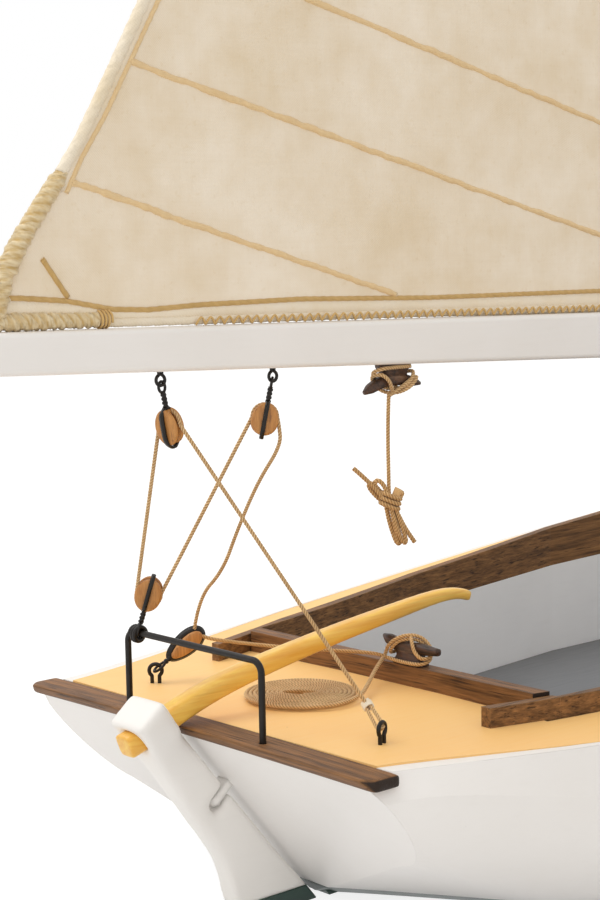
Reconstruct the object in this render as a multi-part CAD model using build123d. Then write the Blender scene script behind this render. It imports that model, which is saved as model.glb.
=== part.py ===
from build123d import *
import os
from math import atan2, cos, degrees, pi, radians, sin, tan

# Model daysailer: a keel sloop with an outboard rudder, tiller and open cockpit.
# Millimetres. +X is forward, +Y is port, +Z is up.
# The origin is on the waterline, on the centreline, near amidships.
# The bottom paint ends a little above the water. Heights in this file are measured from
# that paint edge, and main() lifts every part by PAINT_EDGE_Z, so that z = 0 is the water.
PAINT_EDGE_Z = 3.2
# Blocks that only cut other solids, or are cut down by them
CUT_SIZE = 600.0
CUT_HEIGHT = 120.0

# Hull sections: x, half-breadth at the sheer, sheer height, half-breadth and height of the
# bilge corner, radius that rounds it, height of the rabbet and rise of the deck's camber.
HULL_SECTIONS = [
    # x, sheer_y, sheer_z, bilge_y, bilge_z, bilge_r, rabbet_z, camber
    (-216.0, 46.0, 36.6, 45.5, 13.0, 15.0, 4.0, 0.3),
    (-150.0, 63.0, 35.3, 62.5, 3.5, 27.0, -11.5, 1.2),
    (-75.0, 77.0, 37.9, 76.0, -3.0, 36.0, -23.0, 2.4),
    (0.0, 83.0, 42.2, 80.0, -6.0, 40.0, -29.0, 3.0),
    (75.0, 77.5, 47.2, 69.0, -4.0, 38.0, -27.0, 3.0),
    (140.0, 56.0, 52.2, 43.0, 3.0, 28.0, -16.0, 2.2),
    (185.0, 30.5, 56.0, 19.5, 16.0, 16.0, 3.0, 1.2),
    (209.0, 12.5, 58.4, 7.5, 36.0, 6.0, 28.0, 0.5),
    (221.0, 3.2, 59.6, 2.4, 52.0, 2.0, 49.0, 0.2),
]
FREEBOARD_AFT = 34.2
TRANSOM_TOP_X = -205.0
TRANSOM_RAKE = 39.3
PLANK_EDGE = 1.5
DECK_THICKNESS = 1.6

# Backbone below the rabbet
KEEL_THICKNESS = 6.0
KEEL_DEPTH_AFT = 66.0
KEEL_DEPTH_FORWARD = 57.0
KEEL_TOE_X = 40.0
FOREFOOT_X = 150.0
KEEL_FACE_GAP = 0.6
KEEL_TOP_S = 30.0
FOREFOOT_Z = -14.0
KEEL_RISE_SHARE = 0.73
STEM_THICKNESS = 5.0
STEM_HEAD_X = 226.0
STEM_HEAD_Z = 61.5
STEM_FOOT_X = 168.0
STEM_FOOT_Z = -11.0
STEM_MOULD = 13.0
STEM_KNEE = (207.0, 17.0)
STEM_HEAD_SHARE = 0.7
STEM_INNER_Z = 12.0

# Transom cap
CAP_LENGTH = 100.5
CAP_WIDTH = 7.6
CAP_THICKNESS = 2.2
CAP_FORWARD_X = -200.0
CAP_TOP_Z = 36.8
CAP_CHAMFER = 2.2
CAP_OVERHANG = 0.5

# Cockpit plan: x and half-breadth of the coaming's inner face, from aft forward
COCKPIT_PLAN = [
    (-152.2, 41.8),
    (-141.0, 45.0),
    (-91.0, 54.0),
    (-34.0, 60.0),
    (12.0, 59.0),
    (48.0, 44.0),
]
COAMING_HORN_X = -167.0
COAMING_HORN_Y = 37.8
COAMING_THICKNESS = 2.2
AFT_COAMING_THICKNESS = 3.6
AFT_COAMING_TOP = 40.4
AFT_COAMING_END_GAP = 0.4
AFT_COAMING_SPLAY = 1.0
COAMING_TOP = [(-170.0, 39.6), (-141.0, 40.0), (-91.0, 42.3), (-20.0, 47.4), (52.0, 54.0)]
COAMING_FOOT_AFT = 32.6
COAMING_FOOT_RISE = 0.03
PANEL_THICKNESS = 1.6
SOLE_TOP = 13.0
SOLE_THICKNESS = 1.6
SOLE_EDGE_GAP = 0.25

# Rudder, laid out along the transom: s runs down its rake, n runs aft from its face
RUDDER_AXIS_N = 4.2
RUDDER_NOSE_R = 3.4
RUDDER_NOSE_TOP = -4.4
RUDDER_HEAD_TOP = -13.2
RUDDER_HEAD_SHOULDER = -2.2
RUDDER_HEAD_HALF = 5.35
RUDDER_SHOULDER_HALF = 3.3
RUDDER_BLADE_HALF = 2.4
RUDDER_TAPER_END = 17.0
RUDDER_HEAD_FRONT_N = 1.4
RUDDER_BOTTOM_Z = -61.0
RUDDER_HEEL_CUT = 12.0
RUDDER_REACH = 160.0
# s and n of the rudder's after edge
RUDDER_AFTER_EDGE = [(-13.2, 8.7), (21.0, 11.2), (31.0, 14.2), (52.0, 26.0), (84.0, 37.0)]
PINTLE_STATIONS = [13.0, 62.0]
PINTLE_DIAMETER = 1.3
PINTLE_HALF_LENGTH = 4.0
GUDGEON_HEIGHT = 1.8
GUDGEON_HALF = 1.5
SCORE_CLEARANCE = 0.5
SCORE_DEPTH = 2.4
PIVOT_CLEARANCE = 0.12

# Tiller: x, centre height, depth and width of each section
TILLER_SECTIONS = [
    (-220.0, 35.2, 4.6, 4.6),
    (-206.0, 40.2, 4.3, 4.4),
    (-194.0, 43.4, 4.1, 4.1),
    (-178.0, 46.2, 3.7, 3.8),
    (-156.0, 49.2, 3.3, 3.3),
    (-141.0, 50.9, 2.8, 2.8),
    (-133.5, 50.8, 2.4, 2.5),
    (-130.0, 49.8, 2.2, 2.3),
]

TILLER_CORNER = 0.3

# Traveller horse
HORSE_X = -204.0
HORSE_HALF_SPAN = 19.6
HORSE_TOP_Z = 51.2
HORSE_WIRE = 1.25
HORSE_BEND_R = 2.2

# Eyes and blocks
EYE_RING_R = 1.35
EYE_WIRE_R = 0.42
EYE_SHANK = 1.4
LINK_RING_R = 1.15
LINK_WIRE_R = 0.33
LINK_CLEARANCE = 0.06
LINK_STEM_R = 0.43
DECK_EYE_X = -188.2
DECK_EYE_Y = 32.4
BLOCK_LONG = 6.0
BLOCK_WIDE = 5.2
BLOCK_THICK = 3.0
BLOCK_STRAP_WIDTH = 0.9
BLOCK_STRAP_THICK = 0.35
BLOCK_SCORE = 1.1
BLOCK_SCORE_DEPTH = 0.9
BLOCK_ROUND = 0.7
BLOCK_FACING = (-0.66, -0.75, 0)
HORSE_BLOCK_CENTRE = (-202.8, 14.1, 59.4)
HORSE_RING_Y = 17.3
DECK_BLOCK_CENTRE = (-183.2, 27.2, 44.2)
BOOM_EYE_X = [-209.3, -182.9]
BOOM_BLOCK_DROP = 9.4
BOOM_BLOCK_SHIFT = 1.5

# Cleats
CLEAT_LENGTH = 16.4
CLEAT_HEIGHT = 4.4
CLEAT_HORN_DEPTH = 2.0
CLEAT_TIP_DEPTH = 0.6
CLEAT_WAIST = 0.72
CLEAT_FOOT_LENGTH = 8.4
CLEAT_FOOT_WIDTH = 2.6
SHEET_CLEAT_Y = -6.8
BOOM_CLEAT_X = -151.3

# Mast, boom and their fittings
MAST_X = 80.0
MAST_DECK_DIAMETER = 10.0
MAST_HEAD_DIAMETER = 5.6
MAST_HEAD_Z = 652.0
MAST_STEP_DEPTH = 34.0
MAST_COLLAR_DIAMETER = 17.0
MAST_COLLAR_HEIGHT = 2.2
MAST_COLLAR_SINK = 0.4
MAST_COLLAR_TAPER = 1.2
BOOM_WIDTH = 6.0
BOOM_PITCH = 1.76
BOOM_AFT_X = -252.0
BOOM_AXIS_X = 72.0
BOOM_FORWARD_X = 68.6
BOOM_Z_AT_CLEAT = 104.25
BOOM_DEPTH_AFT = 7.2
BOOM_DEPTH_MID = 10.0
BOOM_DEPTH_FORWARD = 8.4
BOOM_MID_X = -87.0
BOOM_ROUND = 1.0
GOOSENECK_BAND_HEIGHT = 6.0
GOOSENECK_BAND_THICKNESS = 0.8
GOOSENECK_PIN_DIAMETER = 1.6
GOOSENECK_TANG_HEIGHT = 2.2
GOOSENECK_EYE_R = 1.8
GOOSENECK_LUG = 1.0
GOOSENECK_CLEARANCE = 0.2
GOOSENECK_WIDTH = 2.9

# Standing rigging
STAY_DIAMETER = 1.0
STAY_END_GAP = 0.15
HOUNDS_Z = 470.0
HOUNDS_THICKNESS = 0.6
HOUNDS_HEIGHT = 5.0
SHROUD_DECK_X = 72.0
CHAINPLATE_HEIGHT = 11.0
CHAINPLATE_WIDTH = 2.6
CHAINPLATE_THICKNESS = 0.8
CHAINPLATE_SINK = 1.0
CHAINPLATE_STAND_OFF = 0.9
STEM_EYE_X = 219.0
STEM_FITTING_HEIGHT = 3.4
STEM_FITTING_LENGTH = 5.0
STEM_FITTING_WIDTH = 1.2
STEM_FITTING_SINK = 1.0

# Sails
SAIL_THICKNESS = 0.8
SAIL_BOOM_GAP = 0.25
CLEW_X = -245.6
SAIL_LUFF_X = 68.4
SAIL_HEAD_Z = 634.0
SAIL_HEAD_CUT = (-6.0, -3.0)
LEECH_ROUND = 7.0
JIB_TACK_Z = 82.0
JIB_CLEW_X = 96.0
JIB_CLEW_Z = 104.0
JIB_HEAD_Z = 430.0
JIB_HEAD_CUT = (-4.0, -2.0)
JIB_LEECH_HOLLOW = 4.0
JIB_STAY_GAP = 0.35

# Spare end of the mainsheet, coiled flat on the deck, and the line on the boom's cleat
ROPE_DIAMETER = 0.85
COIL_CENTRE = (-176.6, 0.8)
COIL_DIAMETER = 23.0
COIL_HOLE = (7.0, 2.6)
COIL_TURN = -49.0
COIL_REST_GAP = 0.12
SHEET_TAIL_POINTS = [
    (-156.3, -4.4, 42.2),
    (-160.6, -6.5, 41.3),
    (-165.1, -8.5, 39.6),
    (-169.3, -10.3, 38.1),
    (-173.4, -11.9, 37.35),
    (-178.2, -11.2, 37.3),
]
HANGING_LINE_POINTS = [
    (-152.6, 0.4, 95.7),
    (-152.9, 0.6, 90.6),
    (-153.0, 0.8, 84.0),
    (-152.9, 0.6, 77.6),
]
HANK_X = -152.2
# Height and radius of the hank, from its neck through the knot to the loose ends
HANK_ROWS = [(77.4, 0.6), (74.4, 1.9), (70.2, 1.9), (62.0, 2.4)]


def column(index):
    """One column of the hull table against x."""
    return [(row[0], row[index]) for row in HULL_SECTIONS]


def along(points, x):
    """Height or breadth at x on the straight runs between the points."""
    for (x0, v0), (x1, v1) in zip(points, points[1:]):
        if x <= x1:
            return v0 + (v1 - v0) * (x - x0) / (x1 - x0)
    return points[-1][1]


def sheer_z(x):
    return along(column(2), x)


def sheer_y(x):
    return along(column(1), x)


def deck_z(x, y):
    """Top of the cambered deck."""
    half = sheer_y(x) - PLANK_EDGE
    return sheer_z(x) + along(column(7), x) * (1 - (y / half) ** 2)


# Directions along the raked transom and rudder stock
RAKE = radians(TRANSOM_RAKE)
DOWN_RAKE = Vector(sin(RAKE), 0, -cos(RAKE))
AFT_NORMAL = Vector(-cos(RAKE), 0, -sin(RAKE))
TRANSOM_TOP = Vector(TRANSOM_TOP_X, 0, FREEBOARD_AFT)


def on_transom(s, n):
    """Point at s down the rake and n aft of the transom's face."""
    return TRANSOM_TOP + DOWN_RAKE * s + AFT_NORMAL * n


# A plane whose x is down the rake, y is aft of the transom and whose normal is athwartships
RAKE_PLANE = Plane(origin=TRANSOM_TOP, x_dir=DOWN_RAKE, z_dir=DOWN_RAKE.cross(AFT_NORMAL))
# A plane square to the rudder stock: its x is aft, its y is athwartships
STOCK_PLANE = Plane(origin=on_transom(0, RUDDER_AXIS_N), x_dir=AFT_NORMAL, z_dir=DOWN_RAKE)


def bilge_edges(sheer, corner, rabbet, radius):
    """Topside, rounded bilge and bottom of half a section, as (y, z) points."""
    s, c, k = Vector(*sheer), Vector(*corner), Vector(*rabbet)
    up, down = (s - c).normalized(), (k - c).normalized()
    half_angle = radians(up.get_angle(down)) / 2
    reach = min(radius / tan(half_angle), 0.82 * (s - c).length, 0.82 * (k - c).length)
    round_r = reach * tan(half_angle)
    first, last = c + up * reach, c + down * reach
    middle = c + (up + down).normalized() * (round_r / sin(half_angle) - round_r)
    return s, first, middle, last, k


def hull_section(x, sheer_y, sheer_z, bilge_y, bilge_z, bilge_r, rabbet_z, camber):
    s, first, middle, last, k = bilge_edges(
        (sheer_y, sheer_z), (bilge_y, bilge_z), (0, rabbet_z), bilge_r)
    port = [Vector(x, p.X, p.Y) for p in (s, first, middle, last, k)]
    stbd = [Vector(p.X, -p.Y, p.Z) for p in port]
    return Face(Wire([
        Line(port[0], port[1]), ThreePointArc(port[1], port[2], port[3]), Line(port[3], port[4]),
        Line(stbd[4], stbd[3]), ThreePointArc(stbd[3], stbd[2], stbd[1]), Line(stbd[1], stbd[0]),
        Line(stbd[0], port[0]),
    ]))


def deck_section(x, half, edge_z, crown, thickness, rise):
    """Cambered strip across the hull: its edge is at edge_z, its crown above it."""
    top = [Vector(x, y, z) for y, z in ((half, edge_z), (0, edge_z + crown), (-half, edge_z))]
    low = [v - Vector(0, 0, thickness) for v in top]
    high = [v + Vector(0, 0, rise) for v in top]
    return Face(Wire([
        ThreePointArc(*high), Line(high[2], low[2]), ThreePointArc(low[2], low[1], low[0]),
        Line(low[0], high[0]),
    ]))


def deck_loft(rise):
    rows = [row for row in HULL_SECTIONS if row[1] > 2 * PLANK_EDGE]
    return loft([deck_section(r[0], r[1] - PLANK_EDGE, r[2], r[7], DECK_THICKNESS, rise)
                 for r in rows])


def aft_of_transom():
    """Everything behind the raked transom."""
    return RAKE_PLANE * (Pos(0, CUT_SIZE / 4, 0) * Box(CUT_SIZE, CUT_SIZE / 2, CUT_SIZE / 2))


def above_paint_edge():
    return Pos(0, 0, CUT_SIZE / 4) * Box(CUT_SIZE, CUT_SIZE / 2, CUT_SIZE / 2)


def below_paint_edge():
    return Pos(0, 0, -CUT_SIZE / 4) * Box(CUT_SIZE, CUT_SIZE / 2, CUT_SIZE / 2)


def prism(points, low, high):
    """Upright solid over a plan outline."""
    return Pos(0, 0, low) * extrude(make_face(Polyline(*points, close=True)), high - low)


def cockpit_outline(grow=0.0, aft=0.0, forward=0.0):
    """Plan of the cockpit as points, grown sideways, aft and forward."""
    port = [(x, y + grow) for x, y in COCKPIT_PLAN]
    port[0] = (port[0][0] - aft, along(COCKPIT_PLAN[:2], port[0][0]) + grow)
    port[-1] = (port[-1][0] + forward, port[-1][1])
    return port + [(x, -y) for x, y in reversed(port)]


def foot_wedge(high):
    """Solid above (or below) the sloping line on which the coamings stand."""
    reach = CUT_SIZE / 2
    z0 = COAMING_FOOT_AFT + (-reach - COCKPIT_PLAN[0][0]) * COAMING_FOOT_RISE
    z1 = COAMING_FOOT_AFT + (reach - COCKPIT_PLAN[0][0]) * COAMING_FOOT_RISE
    far = reach if high else -reach
    side = Polyline((-reach, z0), (reach, z1), (reach, far), (-reach, far), close=True)
    return extrude(make_face(Plane.XZ * side), CUT_HEIGHT, both=True)


def coaming_profile():
    """Side view of the coamings: everything below their sheered top edge."""
    curve = Spline(*[(x, z) for x, z in COAMING_TOP])
    ends = [COAMING_TOP[-1], (COAMING_TOP[-1][0], 0), (COAMING_TOP[0][0], 0), COAMING_TOP[0]]
    side = Plane.XZ * make_face(Wire([curve, *Polyline(*ends).edges()]))
    return extrude(side, CUT_HEIGHT, both=True)


def half_space(x_low, x_high, y_low, y_high):
    return Pos((x_low + x_high) / 2, (y_low + y_high) / 2, 0) * Box(
        x_high - x_low, y_high - y_low, CUT_SIZE)


def cockpit_well():
    return prism(cockpit_outline(PANEL_THICKNESS, PANEL_THICKNESS, PANEL_THICKNESS),
                 SOLE_TOP - SOLE_THICKNESS, CUT_HEIGHT)


def coaming_slot():
    """Opening in the deck that the coamings stand in."""
    body = prism(cockpit_outline(COAMING_THICKNESS, AFT_COAMING_THICKNESS, COAMING_THICKNESS),
                 0, CUT_HEIGHT)
    for horn in coaming_horn_plans():
        body += prism(horn, 0, CUT_HEIGHT)
    return body & foot_wedge(True)


def coaming_horn_plans():
    """The side coamings run on aft past the after one: plan of each end."""
    (x0, y0), (x1, y1) = (COAMING_HORN_X, COAMING_HORN_Y), COCKPIT_PLAN[1]
    port = [(x0, y0), (x1, y1), (x1, y1 + COAMING_THICKNESS), (x0, y0 + COAMING_THICKNESS)]
    return [port, [(x, -y) for x, y in port]]


def make_hull():
    """White topsides and green bottom, split at the paint edge."""
    body = loft([hull_section(*row) for row in HULL_SECTIONS])
    body -= aft_of_transom()
    body -= deck_loft(CUT_HEIGHT / 4)
    body -= cockpit_well()
    body -= coaming_slot()
    body -= Pos(MAST_X, 0, deck_z(MAST_X, 0) - MAST_STEP_DEPTH / 2) * Cylinder(
        MAST_DECK_DIAMETER / 2, MAST_STEP_DEPTH)
    body -= cap_blank()
    return body & above_paint_edge(), body & below_paint_edge()


def make_deck():
    body = deck_loft(0) - aft_of_transom()
    body -= coaming_slot()
    body -= cockpit_well()
    body -= Pos(MAST_X, 0, deck_z(MAST_X, 0)) * Cylinder(MAST_DECK_DIAMETER / 2, MAST_STEP_DEPTH)
    return body - cap_blank()


def make_keel(hull):
    """Deadwood and ballast in one profile, from the forefoot to the rudder's heel."""
    heel_s = (FREEBOARD_AFT + KEEL_DEPTH_AFT) / cos(RAKE)
    heel = on_transom(heel_s, -KEEL_FACE_GAP)
    top_aft = on_transom(KEEL_TOP_S, -KEEL_FACE_GAP)
    toe = Vector(KEEL_TOE_X, 0, -KEEL_DEPTH_FORWARD)
    fore = Vector(FOREFOOT_X, 0, FOREFOOT_Z)
    rise = Vector((KEEL_TOE_X + FOREFOOT_X) / 2, 0, -KEEL_DEPTH_FORWARD * KEEL_RISE_SHARE)
    outline = Wire([
        Line(top_aft, heel), Line(heel, toe), ThreePointArc(toe, rise, fore),
        Line(fore, Vector(FOREFOOT_X, 0, 0)), Line(Vector(FOREFOOT_X, 0, 0), top_aft),
    ])
    body = extrude(Face(outline), KEEL_THICKNESS / 2, dir=(0, 1, 0), both=True)
    return body - hull


def make_stem(hull):
    """Curved stem from the forefoot to above the deck."""
    head = Vector(STEM_HEAD_X, 0, STEM_HEAD_Z)
    foot = Vector(STEM_FOOT_X, 0, STEM_FOOT_Z)
    knee = Vector(STEM_KNEE[0], 0, STEM_KNEE[1])
    inner_head = Vector(STEM_HEAD_X - STEM_MOULD * STEM_HEAD_SHARE, 0, STEM_HEAD_Z)
    inner_foot = Vector(STEM_FOOT_X + STEM_MOULD, 0, STEM_INNER_Z)
    outline = Wire([
        ThreePointArc(foot, knee, head), Line(head, inner_head),
        Line(inner_head, inner_foot), Line(inner_foot, foot),
    ])
    body = extrude(Face(outline), STEM_THICKNESS / 2, dir=(0, 1, 0), both=True)
    return body - hull


def cap_blank():
    """Transom cap before its holes are bored."""
    half = CAP_LENGTH / 2
    aft = CAP_FORWARD_X - CAP_WIDTH
    plan = [
        (CAP_FORWARD_X, half), (CAP_FORWARD_X, -half), (aft + CAP_CHAMFER, -half),
        (aft, -half + CAP_CHAMFER), (aft, half - CAP_CHAMFER), (aft + CAP_CHAMFER, half),
    ]
    overhang = Pos(*tuple(AFT_NORMAL * CAP_OVERHANG)) * aft_of_transom()
    return prism(plan, CAP_TOP_Z - CAP_THICKNESS, CAP_TOP_Z) - overhang


def make_transom_cap():
    body = cap_blank()
    for side in (-1, 1):
        body -= Pos(HORSE_X, side * HORSE_HALF_SPAN, CAP_TOP_Z) * Cylinder(
            HORSE_WIRE / 2, CAP_THICKNESS * 3)
    return body


def coaming_ring():
    outer = prism(cockpit_outline(COAMING_THICKNESS, 0, COAMING_THICKNESS), 0, CUT_HEIGHT)
    inner = prism(cockpit_outline(0, 2 * AFT_COAMING_THICKNESS, 0), -1, CUT_HEIGHT + 1)
    return (outer - inner) & foot_wedge(True) & coaming_profile()


def make_coamings():
    ring = coaming_ring()
    front_x = COCKPIT_PLAN[-1][0]
    sides = {}
    for name, sign, horn in zip(("port", "starboard"), (1, -1), coaming_horn_plans()):
        y_low, y_high = sorted((0.0, sign * CUT_SIZE))
        side = ring & half_space(COCKPIT_PLAN[0][0], front_x, y_low, y_high)
        tail = prism(horn, 0, CUT_HEIGHT) & foot_wedge(True) & coaming_profile()
        tail = tail & half_space(-CUT_SIZE, COCKPIT_PLAN[0][0], y_low, y_high)
        sides[name] = side + tail
    forward = ring & half_space(front_x, CUT_SIZE, -CUT_SIZE, CUT_SIZE)
    x0 = COCKPIT_PLAN[0][0]
    inner_y = COCKPIT_PLAN[0][1] - AFT_COAMING_END_GAP
    outer_y = inner_y - AFT_COAMING_SPLAY
    aft_plan = [(x0, inner_y), (x0 - AFT_COAMING_THICKNESS, outer_y),
                (x0 - AFT_COAMING_THICKNESS, -outer_y), (x0, -inner_y)]
    aft = prism(aft_plan, 0, AFT_COAMING_TOP) & foot_wedge(True)
    return sides["port"], sides["starboard"], aft, forward


def make_cockpit_panels():
    """Panels that line the well, from the sole up to the coamings."""
    grow = PANEL_THICKNESS
    outer = prism(cockpit_outline(grow, grow, grow), SOLE_TOP - SOLE_THICKNESS, CUT_HEIGHT)
    ring = (outer - prism(cockpit_outline(), 0, CUT_HEIGHT + 1)) & foot_wedge(False)
    x_aft, x_front = COCKPIT_PLAN[0][0], COCKPIT_PLAN[-1][0]
    port = ring & half_space(x_aft, x_front, 0, CUT_SIZE)
    starboard = ring & half_space(x_aft, x_front, -CUT_SIZE, 0)
    aft = ring & half_space(-CUT_SIZE, x_aft, -CUT_SIZE, CUT_SIZE)
    forward = ring & half_space(x_front, CUT_SIZE, -CUT_SIZE, CUT_SIZE)
    return port, starboard, aft, forward


def make_sole():
    """Loose floorboard that lies inside the panels."""
    outline = cockpit_outline(-SOLE_EDGE_GAP, -SOLE_EDGE_GAP, -SOLE_EDGE_GAP)
    return prism(outline, SOLE_TOP - SOLE_THICKNESS, SOLE_TOP)


def rudder_side(n_front):
    """Side view of the rudder on the rake plane, from the head to the heel."""
    foot_s = (FREEBOARD_AFT - RUDDER_BOTTOM_Z) / cos(RAKE)
    edge = RUDDER_AFTER_EDGE
    heel_aft = (foot_s - RUDDER_HEEL_CUT, edge[-1][1])
    points = [(edge[0][0], n_front), edge[0], edge[1]]
    straight = Polyline(*points)
    flare = Spline(edge[1], edge[2], edge[3], edge[4])
    rest = Polyline(edge[4], heel_aft, (foot_s, n_front), points[0])
    return RAKE_PLANE * make_face(Wire([*straight.edges(), flare, *rest.edges()]))


def rudder_thickness():
    """Wide head, tapering down to the blade."""
    half = [
        (RUDDER_HEAD_TOP - 1, RUDDER_HEAD_HALF), (RUDDER_HEAD_TOP, RUDDER_HEAD_HALF),
        (RUDDER_HEAD_SHOULDER, RUDDER_SHOULDER_HALF), (RUDDER_TAPER_END, RUDDER_BLADE_HALF),
        (RUDDER_REACH, RUDDER_BLADE_HALF),
    ]
    outline = [(s, y) for s, y in half] + [(s, -y) for s, y in reversed(half)]
    plane = Plane(origin=TRANSOM_TOP, x_dir=DOWN_RAKE, z_dir=AFT_NORMAL)
    return extrude(plane * make_face(Polyline(*outline, close=True)), RUDDER_REACH / 2)


def stock_cylinder(radius, s_low, s_high):
    """Cylinder about the rudder's hinge line."""
    return STOCK_PLANE * Pos(0, 0, (s_low + s_high) / 2) * Cylinder(radius, s_high - s_low)


def make_rudder():
    blank = extrude(rudder_side(RUDDER_HEAD_FRONT_N), 2 * RUDDER_HEAD_HALF, both=True)
    body = blank & rudder_thickness()
    ahead = STOCK_PLANE * Pos(-CUT_HEIGHT / 2, 0, RUDDER_NOSE_TOP + CUT_SIZE / 2) * Box(
        CUT_HEIGHT, CUT_HEIGHT, CUT_SIZE)
    body -= ahead - stock_cylinder(RUDDER_NOSE_R, RUDDER_NOSE_TOP - 1, RUDDER_REACH)
    score_tall = GUDGEON_HEIGHT + 2 * SCORE_CLEARANCE
    for s in PINTLE_STATIONS:
        body -= STOCK_PLANE * Pos(SCORE_DEPTH - CUT_HEIGHT / 2, 0, s) * Box(
            CUT_HEIGHT, CUT_HEIGHT, score_tall)
        body -= pintle(s, 0)
    body -= tiller_solid()
    return body & above_paint_edge(), body & below_paint_edge()


def pintle(s, clearance):
    return stock_cylinder(PINTLE_DIAMETER / 2 + clearance, s - PINTLE_HALF_LENGTH,
                          s + PINTLE_HALF_LENGTH)


def make_pintles():
    return Compound([pintle(s, 0) for s in PINTLE_STATIONS])


def make_gudgeons():
    """Tongues on the transom and deadwood, bored for the pintles."""
    made = []
    for s, root in zip(PINTLE_STATIONS, (0.0, -KEEL_FACE_GAP)):
        reach = RUDDER_AXIS_N - root
        tongue = STOCK_PLANE * Pos(-reach / 2, 0, s) * Box(reach, 2 * GUDGEON_HALF,
                                                           GUDGEON_HEIGHT)
        tongue += STOCK_PLANE * Pos(0, 0, s) * Cylinder(GUDGEON_HALF, GUDGEON_HEIGHT)
        made.append(tongue - pintle(s, PIVOT_CLEARANCE))
    return Compound(made)


def tiller_solid():
    sections = []
    for i, (x, z, depth, width) in enumerate(TILLER_SECTIONS):
        before = TILLER_SECTIONS[max(i - 1, 0)]
        after = TILLER_SECTIONS[min(i + 1, len(TILLER_SECTIONS) - 1)]
        run = Vector(after[0] - before[0], 0, after[1] - before[1]).normalized()
        plane = Plane(origin=(x, 0, z), x_dir=(0, 1, 0), z_dir=run)
        sections.append(plane * RectangleRounded(width, depth,
                                                 TILLER_CORNER * min(depth, width)))
    return loft(sections)


def make_horse():
    """Wire bar across the transom cap, bent down into it at both ends."""
    foot = CAP_TOP_Z - CAP_THICKNESS
    corners = [(HORSE_X, HORSE_HALF_SPAN, foot), (HORSE_X, HORSE_HALF_SPAN, HORSE_TOP_Z),
               (HORSE_X, -HORSE_HALF_SPAN, HORSE_TOP_Z), (HORSE_X, -HORSE_HALF_SPAN, foot)]
    path = FilletPolyline(*corners, radius=HORSE_BEND_R)
    start = Plane(origin=corners[0], z_dir=(0, 0, 1))
    return sweep(start * Circle(HORSE_WIRE / 2), path=path)


def ring(centre, normal, radius, wire):
    plane = Plane(origin=centre, z_dir=normal)
    return plane * Torus(radius, wire)


def horse_block(hold):
    """Block on a ring that runs on the horse; hold is the bar's middle line there."""
    centre = Vector(*HORSE_BLOCK_CENTRE)
    toward = (hold - centre).normalized()
    face = Vector(*BLOCK_FACING)
    face = (face - toward * face.dot(toward)).normalized()
    runner = hold - toward * (EYE_RING_R - EYE_WIRE_R - HORSE_WIRE / 2 - LINK_CLEARANCE)
    body = make_block(centre, toward, face)
    normal = (Vector(0, 1, 0) - toward * toward.Y).normalized()
    body += ring(runner, normal, EYE_RING_R, EYE_WIRE_R)
    low = centre + toward * (BLOCK_LONG / 2)
    high = runner - toward * (EYE_RING_R - EYE_WIRE_R / 2)
    return body + rod(low, high, LINK_STEM_R)


def eye_centre(base, sign):
    """Middle of a screw eye's ring; sign is 1 above its base and -1 below."""
    return Vector(*base) + Vector(0, 0, sign * (EYE_SHANK + EYE_RING_R - EYE_WIRE_R / 4))


def make_eye(base, normal, sign=1):
    """Screw eye: a ring on a short shank."""
    post = Pos(base[0], base[1], base[2] + sign * EYE_SHANK / 2) * Cylinder(
        EYE_WIRE_R, EYE_SHANK)
    return post + ring(eye_centre(base, sign), normal, EYE_RING_R, EYE_WIRE_R)


def make_block(centre, pull, face):
    """Flat oval block with its strap: pull points from its middle to its fitting."""
    plane = Plane(origin=centre, x_dir=pull, z_dir=face)
    shell = extrude(Ellipse(BLOCK_LONG / 2, BLOCK_WIDE / 2), BLOCK_THICK / 2, both=True)
    shell = fillet(shell.edges().filter_by(GeomType.ELLIPSE), BLOCK_ROUND)
    rim = extrude(Ellipse(BLOCK_LONG / 2 + 1, BLOCK_WIDE / 2 + 1), BLOCK_SCORE / 2, both=True)
    rim -= extrude(Ellipse(BLOCK_LONG / 2 - BLOCK_SCORE_DEPTH, BLOCK_WIDE / 2 - BLOCK_SCORE_DEPTH),
                   BLOCK_SCORE, both=True)
    strap_half = BLOCK_THICK / 2 + BLOCK_STRAP_THICK
    strap = Box(BLOCK_LONG + 2 * BLOCK_STRAP_THICK, BLOCK_STRAP_WIDTH, 2 * strap_half)
    strap -= Box(BLOCK_LONG, BLOCK_STRAP_WIDTH * 2, BLOCK_THICK)
    return plane * (shell - rim + strap)


def linked_block(centre, hold, hold_wire, hold_ring, hold_normal):
    """Block on a link through a ring at hold, facing along that ring's normal."""
    toward = (hold - Vector(*centre)).normalized()
    normal = Vector(*hold_normal)
    face = (normal - toward * normal.dot(toward)).normalized()
    link = hold - toward * (hold_ring - hold_wire - LINK_WIRE_R - LINK_CLEARANCE + LINK_RING_R)
    body = make_block(centre, toward, face)
    body += ring(link, toward.cross(face), LINK_RING_R, LINK_WIRE_R)
    low = Vector(*centre) + toward * (BLOCK_LONG / 2)
    high = link - toward * (LINK_RING_R - LINK_WIRE_R / 2)
    return body + rod(low, high, LINK_STEM_R)


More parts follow.
